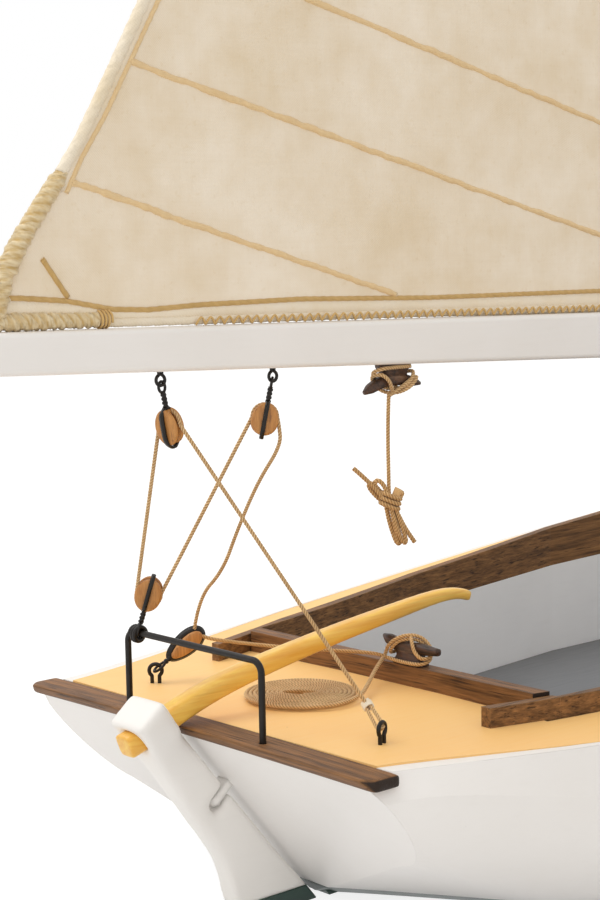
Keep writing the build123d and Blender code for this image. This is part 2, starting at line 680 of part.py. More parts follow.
def make_cleat(length, height):
    """Two-horned cleat on a narrow foot, lying along x, its foot at z = 0."""
    half, foot_half = length / 2, CLEAT_FOOT_LENGTH / 2
    throat = height - CLEAT_HORN_DEPTH
    foot = Vector(foot_half, 0, 0)
    waist = Vector(foot_half * CLEAT_WAIST, 0, throat * CLEAT_WAIST)
    under = Vector(half * CLEAT_WAIST, 0, throat)
    tip = Vector(half, 0, height - CLEAT_TIP_DEPTH)
    top = Vector(half - CLEAT_TIP_DEPTH / 2, 0, height)
    middle = Vector(0, 0, height - CLEAT_TIP_DEPTH)
    side = [Line(foot, waist), ThreePointArc(waist, under, tip), Line(tip, top)]
    other = [edge.mirror(Plane.YZ) for edge in side]
    crown = ThreePointArc(top, middle, Vector(-top.X, 0, top.Z))
    base = Line(Vector(-foot_half, 0, 0), foot)
    body = extrude(Face(Wire([*side, crown, *other, base])), CLEAT_FOOT_WIDTH / 2,
                   dir=(0, 1, 0), both=True)
    return body - Pos(0, 0, throat * CLEAT_WAIST) * Rot(90, 0, 0) * Cylinder(
        throat * 0.3, 2 * CLEAT_FOOT_WIDTH)


def boom_z(x):
    """Height of the boom's middle line."""
    return BOOM_Z_AT_CLEAT - (x - BOOM_CLEAT_X) * tan(radians(BOOM_PITCH))


def boom_half_depth(x):
    line = [(BOOM_AFT_X, BOOM_DEPTH_AFT / 2), (BOOM_MID_X, BOOM_DEPTH_MID / 2),
            (BOOM_FORWARD_X, BOOM_DEPTH_FORWARD / 2)]
    return along(line, x)


def boom_bottom(x):
    return boom_z(x) - boom_half_depth(x)


def boom_top(x):
    return boom_z(x) + boom_half_depth(x)


def make_boom():
    xs = [BOOM_AFT_X, BOOM_MID_X, BOOM_FORWARD_X]
    top = [(x, boom_top(x)) for x in xs]
    low = [(x, boom_bottom(x)) for x in reversed(xs)]
    side = extrude(Plane.XZ * make_face(Polyline(*top, *low, close=True)), BOOM_WIDTH / 2,
                   both=True)
    return fillet(side.edges().filter_by(Axis.Y, reverse=True).filter_by(
        lambda e: e.length > 50), BOOM_ROUND)


def make_gooseneck_band():
    z = boom_z(MAST_X)
    outer = MAST_DECK_DIAMETER / 2 + GOOSENECK_BAND_THICKNESS
    band = Pos(MAST_X, 0, z) * Cylinder(outer, GOOSENECK_BAND_HEIGHT)
    band -= make_mast()
    lug_gap = GOOSENECK_TANG_HEIGHT + 2 * GOOSENECK_CLEARANCE
    for side in (-1, 1):
        lug_z = z + side * (lug_gap + GOOSENECK_LUG) / 2
        root = MAST_X - mast_radius(z)
        lug = Pos(BOOM_AXIS_X, 0, lug_z) * Cylinder(GOOSENECK_EYE_R, GOOSENECK_LUG)
        lug += Pos((BOOM_AXIS_X + root) / 2, 0, lug_z) * Box(
            root - BOOM_AXIS_X, GOOSENECK_WIDTH, GOOSENECK_LUG)
        band += lug - make_mast()
    pin = Pos(BOOM_AXIS_X, 0, z) * Cylinder(
        GOOSENECK_PIN_DIAMETER / 2, lug_gap + 3 * GOOSENECK_LUG)
    return band + pin


def make_gooseneck_tang():
    z = boom_z(MAST_X)
    reach = BOOM_AXIS_X - BOOM_FORWARD_X
    tang = Pos(BOOM_AXIS_X, 0, z) * Cylinder(GOOSENECK_EYE_R, GOOSENECK_TANG_HEIGHT)
    tang += Pos(BOOM_AXIS_X - reach / 2, 0, z) * Box(
        reach, GOOSENECK_WIDTH, GOOSENECK_TANG_HEIGHT)
    tang -= Pos(BOOM_AXIS_X, 0, z) * Cylinder(
        GOOSENECK_PIN_DIAMETER / 2 + PIVOT_CLEARANCE, 2 * GOOSENECK_TANG_HEIGHT)
    return tang


def mast_radius(z):
    foot = deck_z(MAST_X, 0) - MAST_STEP_DEPTH
    share = (z - foot) / (MAST_HEAD_Z - foot)
    return (MAST_DECK_DIAMETER + (MAST_HEAD_DIAMETER - MAST_DECK_DIAMETER) * share) / 2


def make_mast():
    foot = deck_z(MAST_X, 0) - MAST_STEP_DEPTH
    height = MAST_HEAD_Z - foot
    body = Cone(MAST_DECK_DIAMETER / 2, MAST_HEAD_DIAMETER / 2, height)
    return Pos(MAST_X, 0, foot + height / 2) * body


def make_mast_collar():
    z = deck_z(MAST_X, 0)
    outer = MAST_COLLAR_DIAMETER / 2
    body = Pos(MAST_X, 0, z + MAST_COLLAR_HEIGHT / 2 - MAST_COLLAR_SINK) * Cone(
        outer, outer - MAST_COLLAR_TAPER, MAST_COLLAR_HEIGHT)
    body -= Pos(MAST_X, 0, z) * Cylinder(MAST_DECK_DIAMETER / 2, MAST_STEP_DEPTH)
    return body - deck_loft(0)


def rod(a, b, radius):
    a, b = Vector(*a), Vector(*b)
    return Plane(origin=a, z_dir=b - a) * Pos(0, 0, (b - a).length / 2) * Cylinder(
        radius, (b - a).length)


def chainplate_point(side):
    x = SHROUD_DECK_X
    reach = sheer_y(x) + CHAINPLATE_THICKNESS / 2 + CHAINPLATE_STAND_OFF
    return Vector(x, side * reach, sheer_z(x))


def make_chainplates():
    made = []
    for side in (-1, 1):
        top = chainplate_point(side)
        body = Pos(top.X, top.Y, top.Z - CHAINPLATE_SINK) * Box(
            CHAINPLATE_WIDTH, CHAINPLATE_THICKNESS, CHAINPLATE_HEIGHT)
        made.append(body)
    return made


def hounds_radius():
    return mast_radius(HOUNDS_Z) + HOUNDS_THICKNESS


def hounds_point(side):
    reach = hounds_radius() + STAY_DIAMETER / 2 + STAY_END_GAP
    return Vector(MAST_X, side * reach, HOUNDS_Z)


def make_shroud(side):
    foot = chainplate_point(side) + Vector(
        0, 0, CHAINPLATE_HEIGHT / 2 - CHAINPLATE_SINK + STAY_END_GAP)
    return rod(foot, hounds_point(side), STAY_DIAMETER / 2)


def forestay_ends():
    low = Vector(STEM_EYE_X, 0, sheer_z(STEM_EYE_X) + STEM_FITTING_HEIGHT + STAY_END_GAP)
    reach = hounds_radius() + STAY_DIAMETER / 2 + STAY_END_GAP
    high = Vector(MAST_X + reach, 0, HOUNDS_Z)
    return low, high


def make_forestay():
    low, high = forestay_ends()
    return rod(low, high, STAY_DIAMETER / 2)


def make_stem_fitting():
    low = sheer_z(STEM_EYE_X) - STEM_FITTING_SINK
    height = STEM_FITTING_HEIGHT + STEM_FITTING_SINK
    return Pos(STEM_EYE_X, 0, low + height / 2) * Box(
        STEM_FITTING_LENGTH, STEM_FITTING_WIDTH, height)


def make_hounds_band():
    middle = Pos(MAST_X, 0, HOUNDS_Z)
    band = middle * Cylinder(hounds_radius(), HOUNDS_HEIGHT)
    return band - make_mast()


def sail_plate(wire):
    return extrude(make_face(wire), SAIL_THICKNESS / 2, dir=(0, 1, 0), both=True)


def make_mainsail():
    tack = Vector(SAIL_LUFF_X, 0, boom_top(SAIL_LUFF_X) + SAIL_BOOM_GAP)
    mid = Vector(BOOM_MID_X, 0, boom_top(BOOM_MID_X) + SAIL_BOOM_GAP)
    clew = Vector(CLEW_X, 0, boom_top(CLEW_X) + SAIL_BOOM_GAP)
    head = Vector(SAIL_LUFF_X, 0, SAIL_HEAD_Z)
    head_aft = head + Vector(SAIL_HEAD_CUT[0], 0, SAIL_HEAD_CUT[1])
    chord = head_aft - clew
    out = Vector(-chord.Z, 0, chord.X).normalized()
    bulge = (clew + head_aft) * 0.5 + out * LEECH_ROUND
    outline = Wire([
        Line(tack, head), Line(head, head_aft), ThreePointArc(head_aft, bulge, clew),
        Line(clew, mid), Line(mid, tack),
    ])
    return sail_plate(outline)


def stay_point(z, gap):
    low, high = forestay_ends()
    share = (z - low.Z) / (high.Z - low.Z)
    return Vector(low.X + (high.X - low.X) * share - gap, 0, z)


def make_jib():
    gap = STAY_DIAMETER / 2 + JIB_STAY_GAP
    tack = stay_point(JIB_TACK_Z, gap)
    head = stay_point(JIB_HEAD_Z, gap)
    clew = Vector(JIB_CLEW_X, 0, JIB_CLEW_Z)
    head_aft = head + Vector(JIB_HEAD_CUT[0], 0, JIB_HEAD_CUT[1])
    chord = head_aft - clew
    inward = Vector(chord.Z, 0, -chord.X).normalized()
    hollow = (clew + head_aft) * 0.5 + inward * JIB_LEECH_HOLLOW
    outline = Wire([
        Line(tack, head), Line(head, head_aft), ThreePointArc(head_aft, hollow, clew),
        Line(clew, tack),
    ])
    return sail_plate(outline)


def cord_tube(points, diameter):
    """Straight runs joined by tangent arcs as large as the runs allow."""
    radii = []
    route = [Vector(*p) for p in points]
    for a, b, c in zip(route, route[1:], route[2:]):
        turn = radians((b - a).get_angle(c - b))
        radii.append(0.45 * min((b - a).length, (c - b).length) / tan(turn / 2))
    print("cord radii", [round(r, 1) for r in radii])
    path = FilletPolyline(*route, radius=radii)
    start = Plane(origin=route[0], z_dir=route[1] - route[0])
    tube = sweep(start * Circle(diameter / 2), path=path)
    print("cord length", round(path.length, 1), "volume share",
          round(tube.volume / (pi * diameter ** 2 / 4 * path.length), 3))
    return tube


def make_coil():
    x, y = COIL_CENTRE
    base = deck_z(x, y) + COIL_REST_GAP
    body = Pos(x, y, base + ROPE_DIAMETER / 2) * Cylinder(COIL_DIAMETER / 2, ROPE_DIAMETER)
    slot = extrude(SlotOverall(COIL_HOLE[0], COIL_HOLE[1]), 2 * ROPE_DIAMETER, both=True)
    return body - Pos(x, y, base) * Rot(0, 0, COIL_TURN) * slot


def make_hank():
    """Knotted bundle at the end of the line that hangs from the boom's cleat."""
    return loft([Pos(HANK_X, 0, z) * Circle(r) for z, r in HANK_ROWS], ruled=True)


def build_model():
    nodes = {}
    topsides, bottom = make_hull()
    whole = topsides + bottom
    nodes["hull_topsides"] = topsides
    nodes["hull_bottom"] = bottom
    deck = make_deck()
    nodes["deck"] = deck
    nodes["keel"] = make_keel(whole)
    nodes["stem"] = make_stem(whole) - nodes["keel"] - deck
    nodes["transom_cap"] = make_transom_cap()
    (nodes["coaming_port"], nodes["coaming_starboard"], nodes["coaming_aft"],
     nodes["coaming_forward"]) = make_coamings()
    (nodes["cockpit_side_port"], nodes["cockpit_side_starboard"],
     nodes["cockpit_bulkhead_aft"], nodes["cockpit_bulkhead_forward"]) = make_cockpit_panels()
    nodes["cockpit_sole"] = make_sole()
    nodes["traveller_horse"] = make_horse()

    port_base = (DECK_EYE_X, DECK_EYE_Y, deck_z(DECK_EYE_X, DECK_EYE_Y))
    stbd_base = (DECK_EYE_X, -DECK_EYE_Y, deck_z(DECK_EYE_X, DECK_EYE_Y))
    port_eye = eye_centre(port_base, 1)
    lead = port_eye - Vector(*DECK_BLOCK_CENTRE)
    port_normal = lead.cross(Vector(0, 0, 1)).normalized()
    nodes["deck_eye_port"] = make_eye(port_base, port_normal)
    nodes["deck_eye_starboard"] = make_eye(stbd_base, (0.75, 0.66, 0))
    nodes["deck_block"] = linked_block(
        DECK_BLOCK_CENTRE, port_eye, EYE_WIRE_R, EYE_RING_R, port_normal)
    horse_hold = Vector(HORSE_X, HORSE_RING_Y, HORSE_TOP_Z)
    nodes["horse_block"] = horse_block(horse_hold)

    sheet_cleat = make_cleat(CLEAT_LENGTH, CLEAT_HEIGHT)
    cleat_x = COCKPIT_PLAN[0][0] - AFT_COAMING_THICKNESS / 2
    nodes["sheet_cleat"] = Pos(cleat_x, SHEET_CLEAT_Y, AFT_COAMING_TOP) * Rot(0, 0, 90) * (
        sheet_cleat)

    nodes["gudgeons"] = make_gudgeons()
    nodes["rudder_head"], nodes["rudder_blade"] = make_rudder()
    nodes["tiller"] = tiller_solid()
    nodes["pintles"] = make_pintles()

    nodes["mast"] = make_mast()
    nodes["mast_collar"] = make_mast_collar()
    nodes["hounds_band"] = make_hounds_band()
    nodes["gooseneck_band"] = make_gooseneck_band()
    nodes["gooseneck_tang"] = make_gooseneck_tang()
    nodes["boom"] = make_boom()
    nodes["mainsail"] = make_mainsail()
    nodes["jib"] = make_jib()
    nodes["forestay"] = make_forestay()
    nodes["shroud_port"] = make_shroud(1)
    nodes["shroud_starboard"] = make_shroud(-1)
    plates = make_chainplates()
    nodes["chainplate_starboard"], nodes["chainplate_port"] = plates
    nodes["stem_fitting"] = make_stem_fitting() - deck - nodes["stem"]

    for name, x in zip(("aft", "forward"), BOOM_EYE_X):
        base = (x, 0, boom_bottom(x))
        shift = BOOM_BLOCK_SHIFT if name == "aft" else -BOOM_BLOCK_SHIFT
        block = (x + shift, 0, boom_bottom(x) - BOOM_BLOCK_DROP)
        hold = eye_centre(base, -1)
        nodes[f"boom_eye_{name}"] = make_eye(base, BLOCK_FACING, sign=-1)
        nodes[f"boom_block_{name}"] = linked_block(
            block, hold, EYE_WIRE_R, EYE_RING_R, BLOCK_FACING)
    cleat = Rot(180, 0, 0) * make_cleat(CLEAT_LENGTH, CLEAT_HEIGHT)
    slope = degrees(atan2(boom_bottom(BOOM_CLEAT_X - 1) - boom_bottom(BOOM_CLEAT_X + 1), 2))
    nodes["boom_cleat"] = Pos(BOOM_CLEAT_X, 0, boom_bottom(BOOM_CLEAT_X)) * Rot(
        0, slope, 0) * cleat

    nodes["sheet_tail"] = cord_tube(SHEET_TAIL_POINTS, ROPE_DIAMETER)
    nodes["sheet_coil"] = make_coil()
    nodes["hanging_line"] = cord_tube(HANGING_LINE_POINTS, ROPE_DIAMETER)
    nodes["line_hank"] = make_hank()
    return nodes


def main():
    os.makedirs("parts", exist_ok=True)
    for name, shape in build_model().items():
        solids = Compound(list(shape)) if isinstance(shape, list) else shape
        export_step(Pos(0, 0, PAINT_EDGE_Z) * solids, f"parts/{name}.step")


main()
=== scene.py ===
"""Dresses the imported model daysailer: finishes, ropes, sails, fittings, studio and camera.

Lengths are millimetres of the model's own drawing, whose heights are measured from the edge
of the bottom paint. at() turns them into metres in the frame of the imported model.
"""

import logging
import math
import random
from dataclasses import dataclass, field
from enum import Enum
from functools import lru_cache
from typing import Callable, Dict, List, Optional, Sequence, Tuple, Union

import bpy
import numpy as np
from mathutils import Matrix, Vector, noise

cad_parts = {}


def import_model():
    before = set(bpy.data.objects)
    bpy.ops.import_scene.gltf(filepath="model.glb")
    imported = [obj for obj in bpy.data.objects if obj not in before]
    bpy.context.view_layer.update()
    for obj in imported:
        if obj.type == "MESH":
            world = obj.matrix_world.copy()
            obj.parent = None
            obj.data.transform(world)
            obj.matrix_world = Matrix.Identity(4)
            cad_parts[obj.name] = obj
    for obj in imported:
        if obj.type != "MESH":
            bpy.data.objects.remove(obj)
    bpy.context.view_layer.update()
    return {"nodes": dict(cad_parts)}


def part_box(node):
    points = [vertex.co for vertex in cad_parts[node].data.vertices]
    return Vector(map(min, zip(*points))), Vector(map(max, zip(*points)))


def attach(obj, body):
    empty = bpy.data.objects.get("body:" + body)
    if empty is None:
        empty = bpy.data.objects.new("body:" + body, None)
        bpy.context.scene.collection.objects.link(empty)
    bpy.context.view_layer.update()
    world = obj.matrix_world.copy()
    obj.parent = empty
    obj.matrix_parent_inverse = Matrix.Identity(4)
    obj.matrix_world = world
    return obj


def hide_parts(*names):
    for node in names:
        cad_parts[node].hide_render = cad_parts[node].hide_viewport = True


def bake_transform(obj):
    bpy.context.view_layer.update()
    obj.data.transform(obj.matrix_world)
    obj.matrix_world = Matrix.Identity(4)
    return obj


LOG = logging.getLogger("daysailer")
MM = 0.001
PAINT_EDGE_Z = 3.2
UP = Vector((0, 0, 1))
Place = Tuple[float, float, float]
Pair = Tuple[float, float]
Colour = Place
Line = List[Vector]
Value = Union[float, Sequence[float], bpy.types.NodeSocket]


class Body(Enum):
    """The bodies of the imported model."""

    HULL = "hull"
    RUDDER = "rudder"
    BOOM = "boom"


class Grain(Enum):
    """How often a timber's figure repeats along x, y and z, in turns per metre."""

    ALONG = (70.0, 1500.0, 1500.0)
    ACROSS = (1500.0, 70.0, 1500.0)
    UPRIGHT = (1500.0, 1500.0, 70.0)
    FINE_ALONG = (40.0, 700.0, 700.0)


def at(x: float, y: float, z: float) -> Vector:
    """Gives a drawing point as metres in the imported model's frame."""
    return Vector((x, y, z + PAINT_EDGE_Z)) * MM


def between(points: Sequence[Pair], x: float) -> float:
    """Reads a table of straight runs.

    Args:
        points: rising x with the value at each.
        x: where to read it.

    Returns:
        The value at x, or the end value beyond the table.
    """
    if x <= points[0][0]:
        return points[0][1]
    for (x0, v0), (x1, v1) in zip(points, points[1:]):
        if x <= x1:
            return v0 + (v1 - v0) * (x - x0) / (x1 - x0)
    return points[-1][1]


def resampled(line: Line, step: float) -> Line:
    """Spaces the points of a line evenly.

    Args:
        line: points in drawing millimetres.
        step: wanted distance between points.

    Returns:
        New points from the first to the last.
    """
    reach = [0.0]
    for a, b in zip(line, line[1:]):
        reach.append(reach[-1] + (b - a).length)
    count = max(2, round(reach[-1] / step) + 1)
    made, k = [], 0
    for i in range(count):
        wanted = reach[-1] * i / (count - 1)
        while k < len(reach) - 2 and reach[k + 1] < wanted:
            k += 1
        run = max(reach[k + 1] - reach[k], 1e-9)
        made.append(line[k].lerp(line[k + 1], (wanted - reach[k]) / run))
    return made


def smooth_route(points: Sequence[Sequence[float]], step: float) -> Line:
    """Reads the smooth line of a NURBS spline that has these control points.

    Args:
        points: control points in drawing millimetres.
        step: distance between the points that are given back.

    Returns:
        Evenly spaced points along the spline.
    """
    curve = bpy.data.curves.new("route", "CURVE")
    curve.dimensions = "3D"
    spline = curve.splines.new("NURBS")
    spline.points.add(len(points) - 1)
    for place, point in zip(spline.points, points):
        place.co = (*point, 1.0)
    spline.order_u = 3
    spline.use_endpoint_u = True
    curve.resolution_u = 16
    holder = bpy.data.objects.new("route", curve)
    mesh = bpy.data.meshes.new_from_object(holder)
    line = [v.co.copy() for v in mesh.vertices]
    bpy.data.objects.remove(holder)
    bpy.data.curves.remove(curve)
    bpy.data.meshes.remove(mesh)
    return resampled(line, step)


def line_length(line: Line) -> float:
    """Adds up the runs of a line."""
    return sum((b - a).length for a, b in zip(line, line[1:]))


@dataclass
class Surface:
    """Points, faces and a value per point of a piece while it is being made."""

    points: Line = field(default_factory=list)
    faces: List[Tuple[int, ...]] = field(default_factory=list)
    crown: List[float] = field(default_factory=list)

    def join(self, other: "Surface") -> "Surface":
        """Adds another surface's points and faces.

        Args:
            other: the surface to take in.

        Returns:
            This surface.
        """
        start = len(self.points)
        self.crown = self.full_crown() + other.full_crown()
        self.points += other.points
        self.faces += [tuple(start + i for i in face) for face in other.faces]
        return self

    def full_crown(self) -> List[float]:
        """Gives the value at each point, which is 1 where none was set."""
        return self.crown or [1.0] * len(self.points)

    def skin(self, count: int, closed: bool = False) -> "Surface":
        """Joins the rings that the points form by four-sided faces.

        Args:
            count: points in each ring.
            closed: whether the last ring meets the first; if not, both ends are capped.

        Returns:
            This surface.
        """
        rings = len(self.points) // count
        for i in range(rings if closed else rings - 1):
            low, high = i * count, (i + 1) % rings * count
            for k in range(count):
                n = (k + 1) % count
                self.faces.append((low + k, low + n, high + n, high + k))
        if not closed:
            last = (rings - 1) * count
            self.faces.append(tuple(reversed(range(count))))
            self.faces.append(tuple(range(last, last + count)))
        return self

    def piece(self, name: str, body: Optional[Body], material: bpy.types.Material,
              slot: str) -> bpy.types.Object:
        """Makes the Blender object and lets it ride on its body.

        Args:
            name: the piece's name.
            body: the body it moves with, or None where it rides on no body.
            material: its finish.
            slot: the record's material slot; not used.

        Returns:
            The new object.
        """
        mesh = bpy.data.meshes.new(name)
        mesh.from_pydata([at(*p) for p in self.points], [], self.faces)
        mesh.validate()
        mesh.update()
        mesh.shade_smooth()
        crown = mesh.attributes.new("crown", "FLOAT", "POINT")
        crown.data.foreach_set("value", self.full_crown())
        made = bpy.data.objects.new(name, mesh)
        bpy.context.scene.collection.objects.link(made)
        mesh.materials.append(material)
        if body:
            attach(made, body.value)
        LOG.info("%s: %d faces", name, len(mesh.polygons))
        return made


Ring = Callable[[int, float], Sequence[Pair]]


def circle(radius: float, sides: int) -> List[Pair]:
    """Gives the points of a circle, sideways and upwards."""
    turns = [2 * math.pi * k / sides for k in range(sides)]
    return [(radius * math.cos(a), radius * math.sin(a)) for a in turns]


def swept(line: Line, ring: Ring, closed: bool = False,
          start_side: Optional[Vector] = None) -> Surface:
    """Sweeps a ring along a line without twisting it.

    Args:
        line: the middle line.
        ring: gives the ring's points at a step and a distance, sideways and upwards.
        closed: whether the line's end meets its start.
        start_side: direction of the first ring's sideways axis.

    Returns:
        The swept surface, closed at its ends.
    """
    made = Surface()
    side = start_side
    travelled, count = 0.0, 0
    for i, point in enumerate(line):
        before = line[i - 1] if i or closed else point
        after = line[(i + 1) % len(line)] if closed or i + 1 < len(line) else point
        run = (after - before).normalized()
        if side is None:
            side = run.orthogonal()
        side = (side - run * side.dot(run)).normalized()
        across = run.cross(side)
        if i:
            travelled += (point - line[i - 1]).length
        places = ring(i, travelled)
        count = len(places)
        made.points += [point + side * a + across * b for a, b in places]
        reach = max(math.hypot(a, b) for a, b in places)
        made.crown += [math.hypot(a, b) / reach if reach else 1.0 for a, b in places]
    return made.skin(count, closed)


def tube(line: Line, radius: Union[float, Callable[[float], float]], sides: int = 10,
         closed: bool = False) -> Surface:
    """Sweeps a circle along a line.

    Args:
        line: the middle line.
        radius: its radius, or the radius at a share of the way along.
        sides: points round it.
        closed: whether it joins up.

    Returns:
        The tube.
    """
    whole = max(line_length(line), 1e-9)

    def ring(_step: int, travelled: float) -> List[Pair]:
        """Gives one circle."""
        return circle(radius(travelled / whole) if callable(radius) else radius, sides)

    return swept(line, ring, closed)


@dataclass(frozen=True)
class Lay:
    """Twist of a laid rope or thread."""

    strands: int = 3
    pitch: float = 1.9
    score: float = 0.24
    per_strand: int = 4
    step: float = 0.19
    rough: float = 0.0

    def rope(self, line: Line, diameter: Union[float, Callable[[float], float]]) -> Surface:
        """Lays a rope along a line.

        Args:
            line: its middle line.
            diameter: its diameter, or the diameter at a share of the way along.

        Returns:
            A tube whose strands wind round each other.
        """
        line = resampled(line, self.step)
        whole = max(line_length(line), 1e-9)
        sides = self.strands * self.per_strand
        drift = random.Random(7)

        def ring(_step: int, travelled: float) -> List[Pair]:
            """Gives one lobed ring, turned by the lay."""
            share = travelled / whole
            wide = diameter(share) if callable(diameter) else diameter
            turn = 2 * math.pi * travelled / self.pitch
            places = []
            for k in range(sides):
                angle = 2 * math.pi * k / sides
                lobe = abs(math.cos(self.strands * angle / 2)) ** 0.8
                r = wide / 2 * (1 - self.score + self.score * lobe)
                r *= 1 + self.rough * (drift.random() - 0.5)
                places.append((r * math.cos(angle + turn), r * math.sin(angle + turn)))
            return places

        return swept(line, ring)


ROPE = Lay()
STITCH = Lay(strands=2, pitch=4.6, score=0.13, per_strand=5, step=0.45, rough=0.06)
ROLL = Lay(strands=3, pitch=5.5, score=0.14, per_strand=6, step=0.3, rough=0.2)
EDGE_ROLL = Lay(strands=3, pitch=9.0, score=0.12, per_strand=4, step=0.5, rough=0.1)
WIRE_TWIST = Lay(strands=2, pitch=1.5, score=0.35, per_strand=4, step=0.12)


def hoop(centre: Vector, normal: Vector, radius: float, wire: float, stretch: float = 1.0,
         tall: Optional[Vector] = None, steps: int = 28, sides: int = 9) -> Surface:
    """Makes a closed wire ring, round or longer one way.

    Args:
        centre: its middle.
        normal: the direction through its hole.
        radius: middle radius of the ring.
        wire: radius of the wire.
        stretch: how much longer it is along tall.
        tall: its long direction.
        steps: points along the ring.
        sides: points round the wire.

    Returns:
        The ring.
    """
    normal = normal.normalized()
    first = (tall - normal * tall.dot(normal)).normalized() if tall else normal.orthogonal()
    second = normal.cross(first.normalized())
    line = [centre + first.normalized() * (radius * stretch * math.cos(2 * math.pi * i / steps))
            + second * (radius * math.sin(2 * math.pi * i / steps)) for i in range(steps)]
    return tube(line, wire, sides, closed=True)


def turned(base: Vector, axis: Vector, profile: Sequence[Pair], sides: int = 20) -> Surface:
    """Turns a profile about an axis.

    Args:
        base: where the axis starts.
        axis: its direction.
        profile: height and radius, from the base up.
        sides: points round it.

    Returns:
        The turned solid, closed at both ends.
    """
    axis = axis.normalized()
    made = Surface()
    side = axis.orthogonal().normalized()
    across = axis.cross(side)
    for height, radius in profile:
        made.points += [base + axis * height + side * a + across * b
                        for a, b in circle(radius, sides)]
    return made.skin(sides)


class Graph:
    """A node tree with short ways to add and join its nodes."""

    def __init__(self, tree: bpy.types.NodeTree) -> None:
        """Keeps the tree."""
        self.tree = tree

    def node(self, kind: str, inputs: Optional[Dict[Union[str, int], Value]] = None,
             **settings: object) -> bpy.types.Node:
        """Adds a node.

        Args:
            kind: the node's type without its prefix.
            inputs: a value or a socket for each named input.
            settings: the node's own options.

        Returns:
            The node.
        """
        made = self.tree.nodes.new("ShaderNode" + kind)
        for key, value in settings.items():
            setattr(made, key, value)
        for key, value in (inputs or {}).items():
            if isinstance(value, bpy.types.NodeSocket):
                self.tree.links.new(value, made.inputs[key])
            else:
                made.inputs[key].default_value = value
        return made

    def math(self, operation: str, a: Value, b: Value = 0.0, clamp: bool = False
             ) -> bpy.types.NodeSocket:
        """Works out one sum.

        Args:
            operation: the Math node's operation.
            a: first number.
            b: second number.
            clamp: whether the result is kept from 0 to 1.

        Returns:
            The result.
        """
        return self.node("Math", {0: a, 1: b}, operation=operation, use_clamp=clamp).outputs[0]

    def mix(self, share: Value, a: Value, b: Value) -> bpy.types.NodeSocket:
        """Mixes two colours.

        Args:
            share: how much of the second.
            a: first colour.
            b: second colour.

        Returns:
            The mixed colour.
        """
        return self.node("Mix", {0: share, 6: a, 7: b}, data_type="RGBA").outputs[2]

    def remap(self, value: Value, low: float, high: float, to_low: float = 0.0,
              to_high: float = 1.0) -> bpy.types.NodeSocket:
        """Stretches a range of numbers on to another.

        Args:
            value: the number.
            low: where the first range starts.
            high: where it ends.
            to_low: what low becomes.
            to_high: what high becomes.

        Returns:
            The new number, kept within its range.
        """
        return self.node("MapRange", {0: value, 1: low, 2: high, 3: to_low, 4: to_high}).outputs[0]

    def noise(self, vector: Value, scale: float, detail: float = 4.0, rough: float = 0.55,
              bend: float = 0.0) -> bpy.types.NodeSocket:
        """Adds noise.

        Args:
            vector: where it is read.
            scale: turns per unit.
            detail: layers of finer noise.
            rough: how strong the finer layers are.
            bend: how much it is distorted.

        Returns:
            The noise, about 0.5 on average.
        """
        return self.node("TexNoise", {"Vector": vector, "Scale": scale, "Detail": detail,
                                      "Roughness": rough, "Distortion": bend}).outputs[0]

    def place(self) -> bpy.types.NodeSocket:
        """Reads the object's own coordinates."""
        return self.node("TexCoord").outputs["Object"]

    def stretched(self, factors: Value) -> bpy.types.NodeSocket:
        """Reads the object's own coordinates, stretched by a factor each way."""
        return self.node("VectorMath", {0: self.place(), 1: factors},
                         operation="MULTIPLY").outputs[0]


SocketList = Dict[str, Tuple[str, object]]
Sockets = Dict[str, bpy.types.NodeSocket]
COLOUR, NUMBER, VECTOR = "NodeSocketColor", "NodeSocketFloat", "NodeSocketVector"
DRAWN = {"Color": COLOUR, "Height": NUMBER, "Polish": NUMBER}


def opaque(colour: Colour) -> Tuple[float, float, float, float]:
    """Adds a full alpha to a colour."""
    return (*colour, 1.0)


